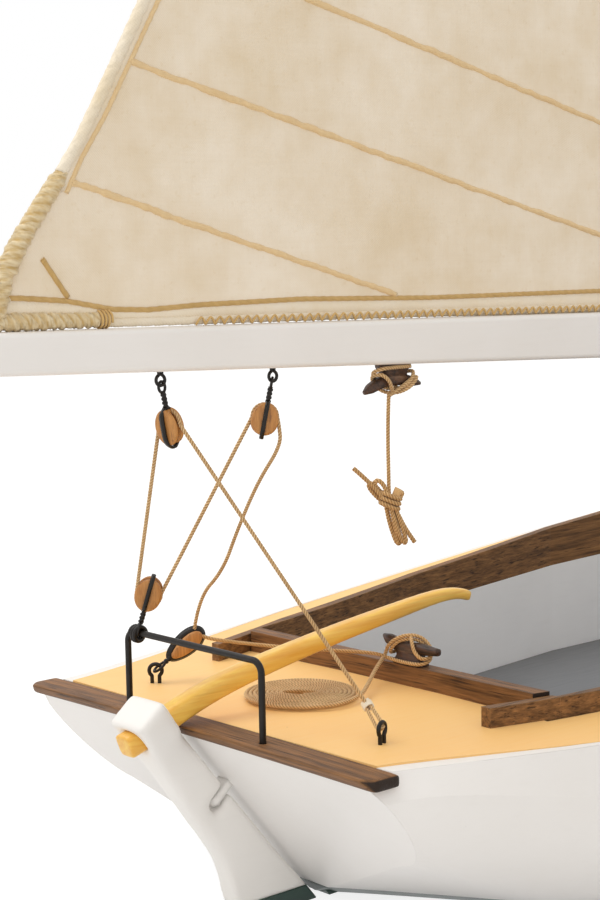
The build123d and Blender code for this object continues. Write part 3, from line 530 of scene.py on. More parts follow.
class Effects:
    """The shared node groups: each is built once and placed with its own values."""

    def __init__(self) -> None:
        """Builds every group."""
        self.grain = self._group(
            "Timber grain",
            {"Stretch": (VECTOR, Grain.ALONG.value), "Dark": (COLOUR, (0.1, 0.05, 0.02, 1)),
             "Light": (COLOUR, (0.3, 0.2, 0.1, 1)), "Pores": (NUMBER, 0.6),
             "End": (NUMBER, 0.0)},
            DRAWN, self._fill_grain)
        self.film = self._group(
            "Paint film",
            {"Paint": (COLOUR, (0.8, 0.8, 0.8, 1)), "Soil": (COLOUR, (0.5, 0.45, 0.4, 1)),
             "Amount": (NUMBER, 0.3)},
            DRAWN, self._fill_film)
        self.wear = self._group(
            "Edge wear", {"Radius": (NUMBER, 0.0004), "Amount": (NUMBER, 1.0)},
            {"Mask": NUMBER, "Normal": VECTOR}, self._fill_wear)
        # The canvas weave's darker colour carries painted crease shade; the rope fibre's score
        # colour is painted groove shade.
        self.weave = self._group(
            "Canvas weave with painted shade",
            {"Cloth": (COLOUR, (0.8, 0.7, 0.5, 1)), "Painted shade and slub": (COLOUR, (0.6, 0.5, 0.35, 1)),
             "Threads": (NUMBER, 2100.0)},
            DRAWN, self._fill_weave)
        self.fibre = self._group(
            "Rope fibre with painted groove shade",
            {"Fibre": (COLOUR, (0.6, 0.4, 0.2, 1)), "Painted groove shade": (COLOUR, (0.25, 0.15, 0.06, 1))},
            {"Color": COLOUR, "Height": NUMBER}, self._fill_fibre)
        self.tarnish = self._group(
            "Tarnish",
            {"Metal": (COLOUR, (0.5, 0.4, 0.2, 1)), "Dull": (COLOUR, (0.1, 0.08, 0.05, 1)),
             "Spread": (NUMBER, 0.5)},
            DRAWN, self._fill_tarnish)

    @staticmethod
    def _group(name: str, inputs: SocketList, outputs: Dict[str, str],
               fill: Callable[[Graph, bpy.types.Node], Sockets]) -> bpy.types.NodeTree:
        """Makes a node group and its sockets.

        Args:
            name: the group's name.
            inputs: type and usual value of each input.
            outputs: type of each output.
            fill: adds the nodes and gives the socket for each output.

        Returns:
            The group.
        """
        tree = bpy.data.node_groups.new(name, "ShaderNodeTree")
        for key, (kind, value) in inputs.items():
            socket = tree.interface.new_socket(name=key, in_out="INPUT", socket_type=kind)
            socket.default_value = value
        for key, kind in outputs.items():
            tree.interface.new_socket(name=key, in_out="OUTPUT", socket_type=kind)
        graph = Graph(tree)
        entry = tree.nodes.new("NodeGroupInput")
        leave = tree.nodes.new("NodeGroupOutput")
        for key, socket in fill(graph, entry).items():
            tree.links.new(socket, leave.inputs[key])
        return tree

    @staticmethod
    def _fill_grain(g: Graph, entry: bpy.types.Node) -> Sockets:
        """Draws long figure, fine streaks and open pores.

        Args:
            g: the group's graph.
            entry: the group's inputs.

        Returns:
            The sockets for the group's outputs.
        """
        place = g.stretched(entry.outputs["Stretch"])
        figure = g.noise(place, 0.55, 5.0, 0.62, 0.5)
        streak = g.noise(place, 2.1, 3.0, 0.6, 0.2)
        mixed = g.math("ADD", g.math("MULTIPLY", figure, 0.6), g.math("MULTIPLY", streak, 0.4))
        colour = g.mix(g.remap(mixed, 0.36, 0.64), entry.outputs["Dark"], entry.outputs["Light"])
        pore = g.remap(g.noise(place, 1.6, 2.0, 0.5), 0.6, 0.68)
        pore = g.math("MULTIPLY", pore, entry.outputs["Pores"])
        deep = g.mix(0.72, entry.outputs["Dark"], (0.0, 0.0, 0.0, 1.0))
        facing = g.node("SeparateXYZ", {0: g.node("TexCoord").outputs["Normal"]}).outputs[1]
        end = g.math("MULTIPLY", g.remap(g.math("ABSOLUTE", facing), 0.35, 0.65),
                     entry.outputs["End"])
        grained = g.mix(pore, colour, deep)
        return {"Color": g.mix(end, grained, deep),
                "Height": g.math("SUBTRACT", mixed, g.math("MULTIPLY", pore, 0.5)),
                "Polish": g.math("SUBTRACT", mixed, 0.5)}

    @staticmethod
    def _fill_film(g: Graph, entry: bpy.types.Node) -> Sockets:
        """Draws brushed paint with cloudy soiling and a few specks.

        Args:
            g: the group's graph.
            entry: the group's inputs.

        Returns:
            The sockets for the group's outputs.
        """
        brush = g.noise(g.stretched((90.0, 1100.0, 1100.0)), 1.0, 3.0, 0.6)
        cloud = g.noise(g.place(), 38.0, 3.0, 0.55)
        cells = g.node("TexVoronoi", {"Vector": g.place(), "Scale": 150.0})
        speck = g.remap(cells.outputs["Distance"], 0.045, 0.02)
        chosen = g.remap(g.node("SeparateColor", {0: cells.outputs["Color"]}).outputs[0],
                         0.86, 0.88)
        speck = g.math("MULTIPLY", speck, chosen)
        soil = g.math("MULTIPLY", g.remap(cloud, 0.42, 0.75), entry.outputs["Amount"])
        soil = g.math("ADD", soil, g.math("MULTIPLY", g.remap(brush, 0.55, 0.8),
                                          g.math("MULTIPLY", entry.outputs["Amount"], 0.5)))
        painted = g.mix(g.math("MULTIPLY", soil, 1.0, clamp=True), entry.outputs["Paint"],
                        entry.outputs["Soil"])
        dark = g.mix(0.8, entry.outputs["Soil"], (0.02, 0.015, 0.01, 1.0))
        return {"Color": g.mix(g.math("MULTIPLY", speck, 0.7), painted, dark),
                "Height": g.math("ADD", g.math("MULTIPLY", brush, 0.7),
                                 g.math("MULTIPLY", cloud, 0.3)),
                "Polish": g.math("SUBTRACT", brush, 0.5)}

    @staticmethod
    def _fill_wear(g: Graph, entry: bpy.types.Node) -> Sockets:
        """Finds the arrises, rounds their normals and masks their wear.

        Args:
            g: the group's graph.
            entry: the group's inputs.

        Returns:
            The sockets for the group's outputs.
        """
        rounded = g.node("Bevel", {"Radius": entry.outputs["Radius"]}, samples=5).outputs[0]
        plain = g.node("NewGeometry").outputs["Normal"]
        match = g.node("VectorMath", {0: rounded, 1: plain}, operation="DOT_PRODUCT")
        edge = g.remap(match.outputs["Value"], 0.995, 0.86)
        patchy = g.remap(g.noise(g.place(), 420.0, 3.0), 0.38, 0.62)
        mask = g.math("MULTIPLY", g.math("MULTIPLY", edge, patchy), entry.outputs["Amount"])
        return {"Mask": mask, "Normal": rounded}

    @staticmethod
    def _fill_weave(g: Graph, entry: bpy.types.Node) -> Sockets:
        """Weaves threads along x and z, with slubs, flecks and broad clouds of painted shade for
        soft creases.

        Args:
            g: the group's graph.
            entry: the group's inputs.

        Returns:
            The sockets for the group's outputs.
        """
        place = g.place()
        axes = g.node("SeparateXYZ", {0: place})
        turn = g.math("MULTIPLY", entry.outputs["Threads"], 2 * math.pi)
        warp = g.math("SINE", g.math("MULTIPLY", axes.outputs[0], turn))
        weft = g.math("SINE", g.math("MULTIPLY", axes.outputs[2], turn))
        checks = g.math("ADD", g.math("MULTIPLY", g.math("MULTIPLY", warp, weft), 0.5), 0.5)
        slub = g.noise(g.stretched((60.0, 400.0, 1800.0)), 1.0, 3.0)
        slub = g.math("ADD", g.math("MULTIPLY", slub, 0.5), g.math("MULTIPLY", g.noise(
            g.stretched((1800.0, 400.0, 60.0)), 1.0, 3.0), 0.5))
        # Painted shade: broad clouds darken the cloth as soft creases would shade it.
        cloud = g.math("ADD", g.math("MULTIPLY", g.noise(place, 24.0, 3.0, 0.5), 0.55),
                       g.math("MULTIPLY", g.noise(place, 120.0, 3.0, 0.55), 0.45))
        fleck = g.remap(g.noise(place, 700.0, 2.0), 0.62, 0.72)
        tone = g.math("ADD", g.math("MULTIPLY", g.remap(cloud, 0.36, 0.64), 0.8),
                      g.math("MULTIPLY", g.remap(slub, 0.35, 0.65), 0.12))
        tone = g.math("ADD", tone, g.math("MULTIPLY", fleck, 0.2), clamp=True)
        return {"Color": g.mix(tone, entry.outputs["Cloth"], entry.outputs["Painted shade and slub"]),
                "Height": g.math("ADD", g.math("MULTIPLY", checks, 0.5),
                                 g.math("MULTIPLY", slub, 0.5)),
                "Polish": g.math("SUBTRACT", slub, 0.5)}

    @staticmethod
    def _fill_fibre(g: Graph, entry: bpy.types.Node) -> Sockets:
        """Paints shade into the scores between strands and mottles the fibres.

        Args:
            g: the group's graph.
            entry: the group's inputs.

        Returns:
            The sockets for the group's outputs.
        """
        crown = g.node("Attribute", attribute_name="crown").outputs["Fac"]
        fibres = g.noise(g.place(), 4200.0, 3.0, 0.7)
        patches = g.noise(g.place(), 260.0, 3.0)
        # Painted shade: low on the crown, in the grooves between strands, the fibre takes the score
        # colour.
        tone = g.math("MULTIPLY", g.remap(crown, 0.78, 0.99),
                      g.math("ADD", g.math("MULTIPLY", fibres, 0.55),
                             g.math("MULTIPLY", patches, 0.85)), clamp=True)
        return {"Color": g.mix(tone, entry.outputs["Painted groove shade"], entry.outputs["Fibre"]),
                "Height": fibres}

    @staticmethod
    def _fill_tarnish(g: Graph, entry: bpy.types.Node) -> Sockets:
        """Clouds a metal with its tarnish.

        Args:
            g: the group's graph.
            entry: the group's inputs.

        Returns:
            The sockets for the group's outputs.
        """
        cloud = g.noise(g.place(), 520.0, 4.0, 0.6)
        share = g.math("MULTIPLY", g.remap(cloud, 0.35, 0.65), entry.outputs["Spread"])
        return {"Color": g.mix(share, entry.outputs["Metal"], entry.outputs["Dull"]),
                "Height": cloud, "Polish": g.math("SUBTRACT", cloud, 0.5)}


@lru_cache(maxsize=None)
def effects() -> Effects:
    """Gives the node groups, which are built at the first call."""
    return Effects()


@dataclass(frozen=True)
class Finish:
    """What every finish has: its name, gloss and relief."""

    name: str
    rough: float = 0.5
    rough_swing: float = 0.2
    relief: float = 0.00005
    specular: float = 0.5
    coat: float = 0.0
    coat_rough: float = 0.2
    sheen: float = 0.0
    sheen_tint: Colour = (1.0, 1.0, 1.0)
    metallic: float = 0.0
    edge: float = 0.0003
    worn: Colour = (0.5, 0.45, 0.4)
    wear: float = 0.0

    def pattern(self, g: Graph) -> bpy.types.Node:
        """Adds the group that draws this finish; each kind of finish has its own."""
        raise NotImplementedError

    def build(self) -> bpy.types.Material:
        """Makes the material.

        Returns:
            A material with one Principled shader.
        """
        material = bpy.data.materials.new(self.name)
        material.use_nodes = True
        g = Graph(material.node_tree)
        shader = material.node_tree.nodes["Principled BSDF"]
        drawn = self.pattern(g)
        colour = drawn.outputs["Color"]
        bump = {"Height": drawn.outputs["Height"], "Distance": self.relief, "Strength": 1.0}
        if self.edge:
            edges = g.node("Group", node_tree=effects().wear)
            edges.inputs["Radius"].default_value = self.edge
            edges.inputs["Amount"].default_value = self.wear
            bump["Normal"] = edges.outputs["Normal"]
            if self.wear:
                colour = g.mix(edges.outputs["Mask"], colour, opaque(self.worn))
        links = material.node_tree.links
        links.new(colour, shader.inputs["Base Color"])
        links.new(g.node("Bump", bump).outputs[0], shader.inputs["Normal"])
        if "Polish" in drawn.outputs:
            shown = g.math("ADD", g.math("MULTIPLY", drawn.outputs["Polish"], self.rough_swing),
                           self.rough, clamp=True)
            links.new(shown, shader.inputs["Roughness"])
        else:
            shader.inputs["Roughness"].default_value = self.rough
        for socket, value in (("Specular IOR Level", self.specular), ("Coat Weight", self.coat),
                              ("Coat Roughness", self.coat_rough), ("Metallic", self.metallic),
                              ("Sheen Weight", self.sheen),
                              ("Sheen Tint", opaque(self.sheen_tint))):
            shader.inputs[socket].default_value = value
        return material


@dataclass(frozen=True)
class Timber(Finish):
    """Bare, oiled or varnished wood."""

    dark: Colour = (0.1, 0.05, 0.02)
    light: Colour = (0.3, 0.18, 0.09)
    grain: Grain = Grain.ALONG
    pores: float = 0.6
    end: float = 0.0

    def pattern(self, g: Graph) -> bpy.types.Node:
        """Places the timber grain."""
        return placed(g, effects().grain, {
            "Stretch": self.grain.value, "Dark": opaque(self.dark), "Light": opaque(self.light),
            "Pores": self.pores, "End": self.end})


@dataclass(frozen=True)
class Paint(Finish):
    """Brushed paint over wood."""

    paint: Colour = (0.8, 0.8, 0.8)
    soil: Colour = (0.6, 0.55, 0.5)
    amount: float = 0.25

    def pattern(self, g: Graph) -> bpy.types.Node:
        """Places the paint film."""
        return placed(g, effects().film, {"Paint": opaque(self.paint), "Soil": opaque(self.soil),
                                          "Amount": self.amount})


@dataclass(frozen=True)
class Cloth(Finish):
    """Woven canvas, with painted shade of soft creases."""

    cloth: Colour = (0.8, 0.7, 0.5)
    # Darker colour: in broad clouds it is painted shade of soft creases, in fine touches slubs and
    # flecks.
    painted_shade_and_slub: Colour = (0.6, 0.5, 0.35)
    threads: float = 2100.0

    def pattern(self, g: Graph) -> bpy.types.Node:
        """Places the canvas weave and its painted shade."""
        return placed(g, effects().weave, {"Cloth": opaque(self.cloth), "Painted shade and slub": opaque(self.painted_shade_and_slub),
                                           "Threads": self.threads})


@dataclass(frozen=True)
class Cordage(Finish):
    """Laid rope or thread, with painted shade in the scores between strands."""

    fibre: Colour = (0.6, 0.4, 0.2)
    # Colour of the scores between strands, which is painted shade.
    score: Colour = (0.25, 0.15, 0.06)

    def pattern(self, g: Graph) -> bpy.types.Node:
        """Places the rope fibre and its painted groove shade."""
        return placed(g, effects().fibre,
                      {"Fibre": opaque(self.fibre), "Painted groove shade": opaque(self.score)})


@dataclass(frozen=True)
class Metal(Finish):
    """Tarnished, blackened or drawn metal."""

    metal: Colour = (0.5, 0.4, 0.2)
    dull: Colour = (0.1, 0.08, 0.05)
    spread: float = 0.5

    def pattern(self, g: Graph) -> bpy.types.Node:
        """Places the tarnish."""
        return placed(g, effects().tarnish, {"Metal": opaque(self.metal), "Dull": opaque(self.dull),
                                             "Spread": self.spread})


def placed(g: Graph, group: bpy.types.NodeTree, values: Dict[str, Value]) -> bpy.types.Node:
    """Puts a node group in a material with its own values.

    Args:
        g: the material's graph.
        group: the node group.
        values: its inputs.

    Returns:
        The group's node.
    """
    made = g.node("Group", node_tree=group)
    for key, value in values.items():
        made.inputs[key].default_value = value
    return made


class Finishes:
    """Every finish of the model, built once."""

    def __init__(self) -> None:
        """Builds the materials."""
        self.white = Paint("White paint", rough=0.42, relief=0.00003, specular=0.4, wear=0.35,
                           worn=(0.62, 0.58, 0.52), paint=(0.9, 0.88, 0.86),
                           soil=(0.82, 0.79, 0.75), amount=0.3).build()
        self.soft_white = Paint("Soft white paint", rough=0.42, relief=0.00003, specular=0.4,
                                paint=(0.9, 0.88, 0.85), soil=(0.82, 0.79, 0.75), amount=0.2,
                                edge=0.0012).build()
        self.green = Paint("Bottom green", rough=0.38, specular=0.4, wear=0.4,
                           worn=(0.09, 0.16, 0.12), paint=(0.008, 0.035, 0.024),
                           soil=(0.02, 0.05, 0.035), amount=0.5).build()
        self.deck = Paint("Deck buff", rough=0.5, relief=0.00004, specular=0.3, wear=0.3,
                          worn=(0.95, 0.72, 0.36), paint=(1.0, 0.635, 0.25),
                          soil=(0.96, 0.56, 0.205), amount=0.45).build()
        self.well = Paint("Well grey", rough=0.5, paint=(0.9, 0.92, 0.95), wear=0.2,
                          worn=(0.88, 0.88, 0.88), soil=(0.78, 0.8, 0.83), amount=0.4).build()
        self.sole = Paint("Sole grey", rough=0.55, paint=(0.17, 0.178, 0.19),
                          soil=(0.12, 0.126, 0.134), amount=0.5).build()
        self.walnut_across = Timber("Walnut across", rough=0.55, relief=0.00012, specular=0.3,
                                    dark=(0.07, 0.03, 0.01), light=(0.31, 0.145, 0.052),
                                    grain=Grain.ACROSS, pores=0.75, wear=0.2,
                                    worn=(0.42, 0.23, 0.1), end=1.0).build()
        self.walnut_along = Timber("Walnut along", rough=0.55, relief=0.00012, specular=0.3,
                                   dark=(0.065, 0.03, 0.011), light=(0.33, 0.165, 0.062),
                                   pores=0.75, wear=0.6, worn=(0.5, 0.29, 0.13)).build()
        self.dark_walnut = Timber("Dark walnut", rough=0.45, relief=0.00008, specular=0.4,
                                  dark=(0.02, 0.012, 0.008), light=(0.11, 0.05, 0.026),
                                  grain=Grain.ACROSS, pores=0.7, wear=0.8,
                                  worn=(0.26, 0.14, 0.07)).build()
        self.tiller = Timber("Varnished ash", rough=0.36, relief=0.00005, specular=0.45, coat=0.3,
                             coat_rough=0.3, dark=(0.82, 0.4, 0.045), light=(0.95, 0.62, 0.12),
                             grain=Grain.FINE_ALONG, pores=0.1, wear=0.2,
                             worn=(0.92, 0.7, 0.3)).build()
        self.block = Timber("Block wood", rough=0.5, relief=0.00006, dark=(0.38, 0.15, 0.035),
                            light=(0.6, 0.28, 0.075), grain=Grain.UPRIGHT, pores=0.45,
                            edge=0.0).build()
        self.black = Metal("Blackened wire", rough=0.38, relief=0.00004, specular=0.3,
                           metal=(0.014, 0.01, 0.007), dull=(0.005, 0.003, 0.002),
                           spread=0.8, edge=0.0).build()
        self.brass = Metal("Dull brass", rough=0.38, metallic=0.9, metal=(0.5, 0.34, 0.13),
                           dull=(0.2, 0.13, 0.06), spread=0.8, edge=0.0002).build()
        self.wire = Metal("Stay wire", rough=0.4, metallic=0.8, metal=(0.4, 0.4, 0.41),
                          dull=(0.2, 0.19, 0.18), spread=0.6, edge=0.0).build()
        # The canvas's and the hem's darker colours are painted shade of soft creases, mixed with
        # the threads' slubs and flecks.
        self.canvas = Cloth("Sail canvas", rough=0.85, rough_swing=0.1, relief=0.00005,
                            specular=0.2, sheen=0.15, cloth=(0.94, 0.85, 0.715),
                            painted_shade_and_slub=(0.8, 0.665, 0.47), edge=0.0).build()
        self.hem = Cloth("Hem canvas", rough=0.85, rough_swing=0.1, relief=0.00008, specular=0.2,
                         sheen=0.2, cloth=(0.93, 0.85, 0.72), painted_shade_and_slub=(0.84, 0.71, 0.5),
                         threads=1500.0, edge=0.0).build()
        # The score colours below are painted shade in the grooves between strands.
        self.rope = Cordage("Tan rope", rough=0.75, relief=0.00003, specular=0.2, sheen=0.2,
                            fibre=(0.9, 0.6, 0.29), score=(0.34, 0.17, 0.055), edge=0.0).build()
        self.pale_rope = Cordage("Pale rope", rough=0.75, relief=0.00003, specular=0.2, sheen=0.2,
                                 fibre=(0.93, 0.66, 0.35), score=(0.36, 0.19, 0.07),
                                 edge=0.0).build()
        self.seam = Cordage("Golden thread", rough=0.7, relief=0.00004, specular=0.25,
                            sheen=0.3, fibre=(0.92, 0.7, 0.4), score=(0.82, 0.58, 0.3),
                            edge=0.0).build()
        self.stitch = Cordage("Brown thread", rough=0.7, relief=0.00005, specular=0.25,
                              sheen=0.3, fibre=(0.72, 0.48, 0.19), score=(0.5, 0.31, 0.1),
                              edge=0.0).build()
        self.roll = Cordage("Rolled edge", rough=0.8, relief=0.00012, specular=0.2, sheen=0.4,
                            fibre=(0.94, 0.82, 0.58), score=(0.66, 0.46, 0.19), edge=0.0).build()


@dataclass(frozen=True)
class Camera:
    """The photograph's viewpoint, fitted to the model's own points."""

    place: Place = (-416.447, -269.618, 127.037)
    look: Place = (0.66045788, 0.74182871, -0.11612729)
    right: Place = (0.74522054, -0.66653247, -0.01951429)
    upward: Place = (0.09187887, 0.07365208, 0.99304262)
    lens: float = 75.98
    sensor: float = 36.0

    def build(self) -> None:
        """Makes the camera and gives it to the scene."""
        data = bpy.data.cameras.new("photograph")
        data.lens = self.lens
        data.sensor_width = self.sensor
        data.sensor_fit = "AUTO"
        data.clip_start = 0.01
        data.clip_end = 60.0
        camera = bpy.data.objects.new("photograph", data)
        bpy.context.scene.collection.objects.link(camera)
        turn = Matrix((self.right, self.upward, [-x for x in self.look])).transposed()
        camera.matrix_world = Matrix.Translation(at(*self.place)) @ turn.to_4x4()
        bpy.context.scene.camera = camera


@dataclass(frozen=True)
class Studio:
    """White surroundings, soft lamps and a white floor at the water's level."""

    fill: float = 0.76
    warmth: Colour = (1.0, 0.965, 0.92)
    key_watts: float = 12.0
    key_place: Place = (-600.0, 500.0, 1500.0)
    side_watts: float = 2.4
    side_place: Place = (-1200.0, -700.0, 500.0)
    lamp_size: float = 1.4
    lamp_aim: Place = (-150.0, 0.0, 50.0)
    floor_half: float = 9.0
    floor_white: float = 0.82
    floor_bounce: float = 0.8
    floor_albedo: float = 0.32

    def build(self) -> None:
        """Makes the world, the lamps and the floor."""
        self._world()
        self._lamp("key", self.key_watts, self.key_place)
        self._lamp("side", self.side_watts, self.side_place)
        self._floor()
        bpy.context.scene.view_settings.view_transform = "Standard"

    @staticmethod
    def _seen(g: Graph) -> bpy.types.NodeSocket:
        """Tells rays that show the background from rays that light the model.

        Args:
            g: the graph they are told apart in.

        Returns:
            1 for rays that show it, 0 for the others.
        """
        path = g.node("LightPath")
        seen = g.math("MAXIMUM", path.outputs["Is Camera Ray"], path.outputs["Is Glossy Ray"])
        return g.math("MAXIMUM", seen, path.outputs["Is Transmission Ray"])

    def _world(self) -> None:
        """Makes the white surroundings."""
        world = bpy.data.worlds.new("studio")
        world.use_nodes = True
        bpy.context.scene.world = world
        g = Graph(world.node_tree)
        sky = world.node_tree.nodes["Background"]
        seen = self._seen(g)
        tint = g.mix(seen, opaque(self.warmth), (1.0, 1.0, 1.0, 1.0))
        strength = g.remap(seen, 0.0, 1.0, self.fill, 1.0)
        world.node_tree.links.new(tint, sky.inputs["Color"])
        world.node_tree.links.new(strength, sky.inputs["Strength"])

    def _lamp(self, name: str, watts: float, place: Place) -> None:
        """Hangs one square lamp that looks at the stern.

        Args:
            name: its name.
            watts: its power.
            place: where it hangs.
        """
        data = bpy.data.lights.new(name, "AREA")
        data.energy = watts
        data.size = self.lamp_size
        lamp = bpy.data.objects.new(name, data)
        bpy.context.scene.collection.objects.link(lamp)
        lamp.location = at(*place)
        aim = at(*self.lamp_aim) - lamp.location
        lamp.rotation_euler = aim.to_track_quat("-Z", "Y").to_euler()

    def _floor(self) -> None:
        """Makes the floor that keeps the model's shadow."""
        half = self.floor_half
        mesh = bpy.data.meshes.new("floor")
        mesh.from_pydata([(-half, -half, 0), (half, -half, 0), (half, half, 0), (-half, half, 0)],
                         [], [(0, 1, 2, 3)])
        floor = bpy.data.objects.new("floor", mesh)
        bpy.context.scene.collection.objects.link(floor)
        material = bpy.data.materials.new("Floor white")
        material.use_nodes = True
        g = Graph(material.node_tree)
        nodes, links = material.node_tree.nodes, material.node_tree.links
        nodes.remove(nodes["Principled BSDF"])
        albedo = g.remap(self._seen(g), 0.0, 1.0, self.floor_bounce, self.floor_albedo)
        cloth = g.node("BsdfDiffuse", {"Color": g.node("CombineColor", {
            0: albedo, 1: albedo, 2: albedo}).outputs[0]})
        glow = g.node("Emission", {"Strength": g.math("MULTIPLY", self._seen(g),
                                                      self.floor_white)})
        both = g.node("AddShader", {0: cloth.outputs[0], 1: glow.outputs[0]})
        links.new(both.outputs[0], nodes["Material Output"].inputs["Surface"])
        mesh.materials.append(material)


@dataclass(frozen=True)
class BoomLine:
    """The boom's middle line and depth, as the part has them."""

    cleat_x: float = -151.3
    cleat_z: float = 104.25
    slope: float = math.tan(math.radians(1.76))
    depths: Tuple[Pair, ...] = ((-252.0, 3.6), (-87.0, 5.0), (68.6, 4.2))

    def middle(self, x: float) -> float:
        """Gives the height of its middle line."""
        return self.cleat_z - (x - self.cleat_x) * self.slope

    def top(self, x: float) -> float:
        """Gives the height of its upper face."""
        return self.middle(x) + between(self.depths, x)

    def bottom(self, x: float) -> float:
        """Gives the height of its lower face."""
        return self.middle(x) - between(self.depths, x)


BOOM_LINE = BoomLine()


@dataclass
class Sail:
    """A stitched canvas sail laid out as rows from its foot to its head."""

    node: str
    body: Body
    luff: Tuple[Pair, ...]
    leech: Tuple[Pair, ...]
    rows: int = 150
    columns: int = 80
    thickness: float = 0.3
    ripple: float = 0.35
    # How fast the ripple grows from the held foot, per share of the height.
    ripple_rise: float = 22.0
    # Each wave's strength, length along x, place across and length upwards.
    waves: Tuple[Tuple[float, float, float, float], ...] = (
        (1.6, 38.0, 3.7, 26.0), (0.5, 17.0, 8.1, 15.0))

    def luff_x(self, z: float) -> float:
        """Gives the luff's x at a height."""
        return between([(b, a) for a, b in self.luff], z)

    def leech_x(self, z: float) -> float:
        """Gives the leech's x at a height."""
        return between([(b, a) for a, b in self.leech], z)

    def swell(self, x: float, z: float) -> float:
        """Gives how far the cloth stands to port of the centre plane.

        Args:
            x: forward place on the sail.
            z: height on the sail.

        Returns:
            The distance in millimetres.
        """
        low, high = self.leech[0][1], self.leech[-1][1]
        t = min(max((z - low) / (high - low), 0.0), 1.0)
        loose = sum(strong * noise.noise(Vector((x / along, across, z / upright)))
                    for strong, along, across, upright in self.waves)
        return self.ripple * loose * min(1.0, t * self.ripple_rise)

    def foot_z(self, x: float) -> float:
        """Gives the foot's height at x, on the straight between clew and tack.

        Args:
            x: forward place on the sail.

        Returns:
            The height.
        """
        clew, tack = self.leech[0], self.luff[0]
        share = (x - clew[0]) / (tack[0] - clew[0])
        return clew[1] + (tack[1] - clew[1]) * share

    def point(self, x: float, z: float, lift: float = 0.0) -> Vector:
        """Gives a point on the cloth.

        Args:
            x: forward place.
            z: height.
            lift: how far it stands off the cloth, to port.

        Returns:
            The point.
        """
        return Vector((x, self.swell(x, z) + lift, z))

    def sides(self, t: float) -> Tuple[Vector, Vector]:
        """Gives the leech's and the luff's point at a share of the height.

        Args:
            t: share of the height, from the foot.

        Returns:
            The leech's point and the luff's.
        """
        low_a, high_a = self.leech[0][1], self.leech[-1][1]
        low_b, high_b = self.luff[0][1], self.luff[-1][1]
        z_a, z_b = low_a + (high_a - low_a) * t, low_b + (high_b - low_b) * t
        return Vector((self.leech_x(z_a), 0, z_a)), Vector((self.luff_x(z_b), 0, z_b))

    def cloth(self) -> Surface:
        """Makes the cloth with both its faces.

        Returns:
            A closed thin sheet.
        """
        made = Surface()
        grid = []
        for i in range(self.rows + 1):
            back, front = self.sides(i / self.rows)
            for k in range(self.columns + 1):
                flat = back.lerp(front, k / self.columns)
                grid.append(self.point(flat.x, flat.z))
        half = Vector((0, self.thickness / 2, 0))
        made.points = [p + half for p in grid] + [p - half for p in grid]
        wide, count = self.columns + 1, len(grid)
        for i in range(self.rows):
            for k in range(self.columns):
                a = i * wide + k
                made.faces.append((a, a + wide, a + wide + 1, a + 1))
                made.faces.append((count + a, count + a + 1, count + a + wide + 1,
                                   count + a + wide))
        rim = list(range(self.columns)) + [
            i * wide + self.columns for i in range(self.rows)] + [
            self.rows * wide + k for k in range(self.columns, 0, -1)] + [
            i * wide for i in range(self.rows, 0, -1)]
        for a, b in zip(rim, rim[1:] + rim[:1]):
            made.faces.append((a, b, count + b, count + a))
        return made

    def area(self) -> float:
        """Gives the flat area in square metres.

        Returns:
            The area.
        """
        total, steps = 0.0, 200
        for i in range(steps):
            (a, b), (c, d) = self.sides(i / steps), self.sides((i + 1) / steps)
            total += ((b - a).cross(d - a).length + (d - a).cross(c - a).length) / 2
        return total * MM * MM

    def build(self, canvas: bpy.types.Material, rests_on: Sequence[str],
              with_pieces: Sequence[bpy.types.Object]) -> bpy.types.Object:
        """Args:
            canvas: its cloth.
            rests_on: what holds it; not used.
            with_pieces: stitches and hems on it; not used.

        Returns:
            The sail.
        """
        sail = self.cloth().piece(self.node + "_cloth", self.body, canvas, "sail_canvas")
        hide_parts(self.node)
        self.area()
        return sail

    def laid(self, points: Sequence[Pair], step: float = 1.0, lift: float = 0.0) -> Line:
        """Lays a line on the cloth.

        Args:
            points: x and z of its corners.
            step: distance between its points.
            lift: how far it stands off the cloth.

        Returns:
            The line.
        """
        flat = resampled([Vector((x, 0, z)) for x, z in points], step)
        return [self.point(p.x, p.z, lift) for p in flat]


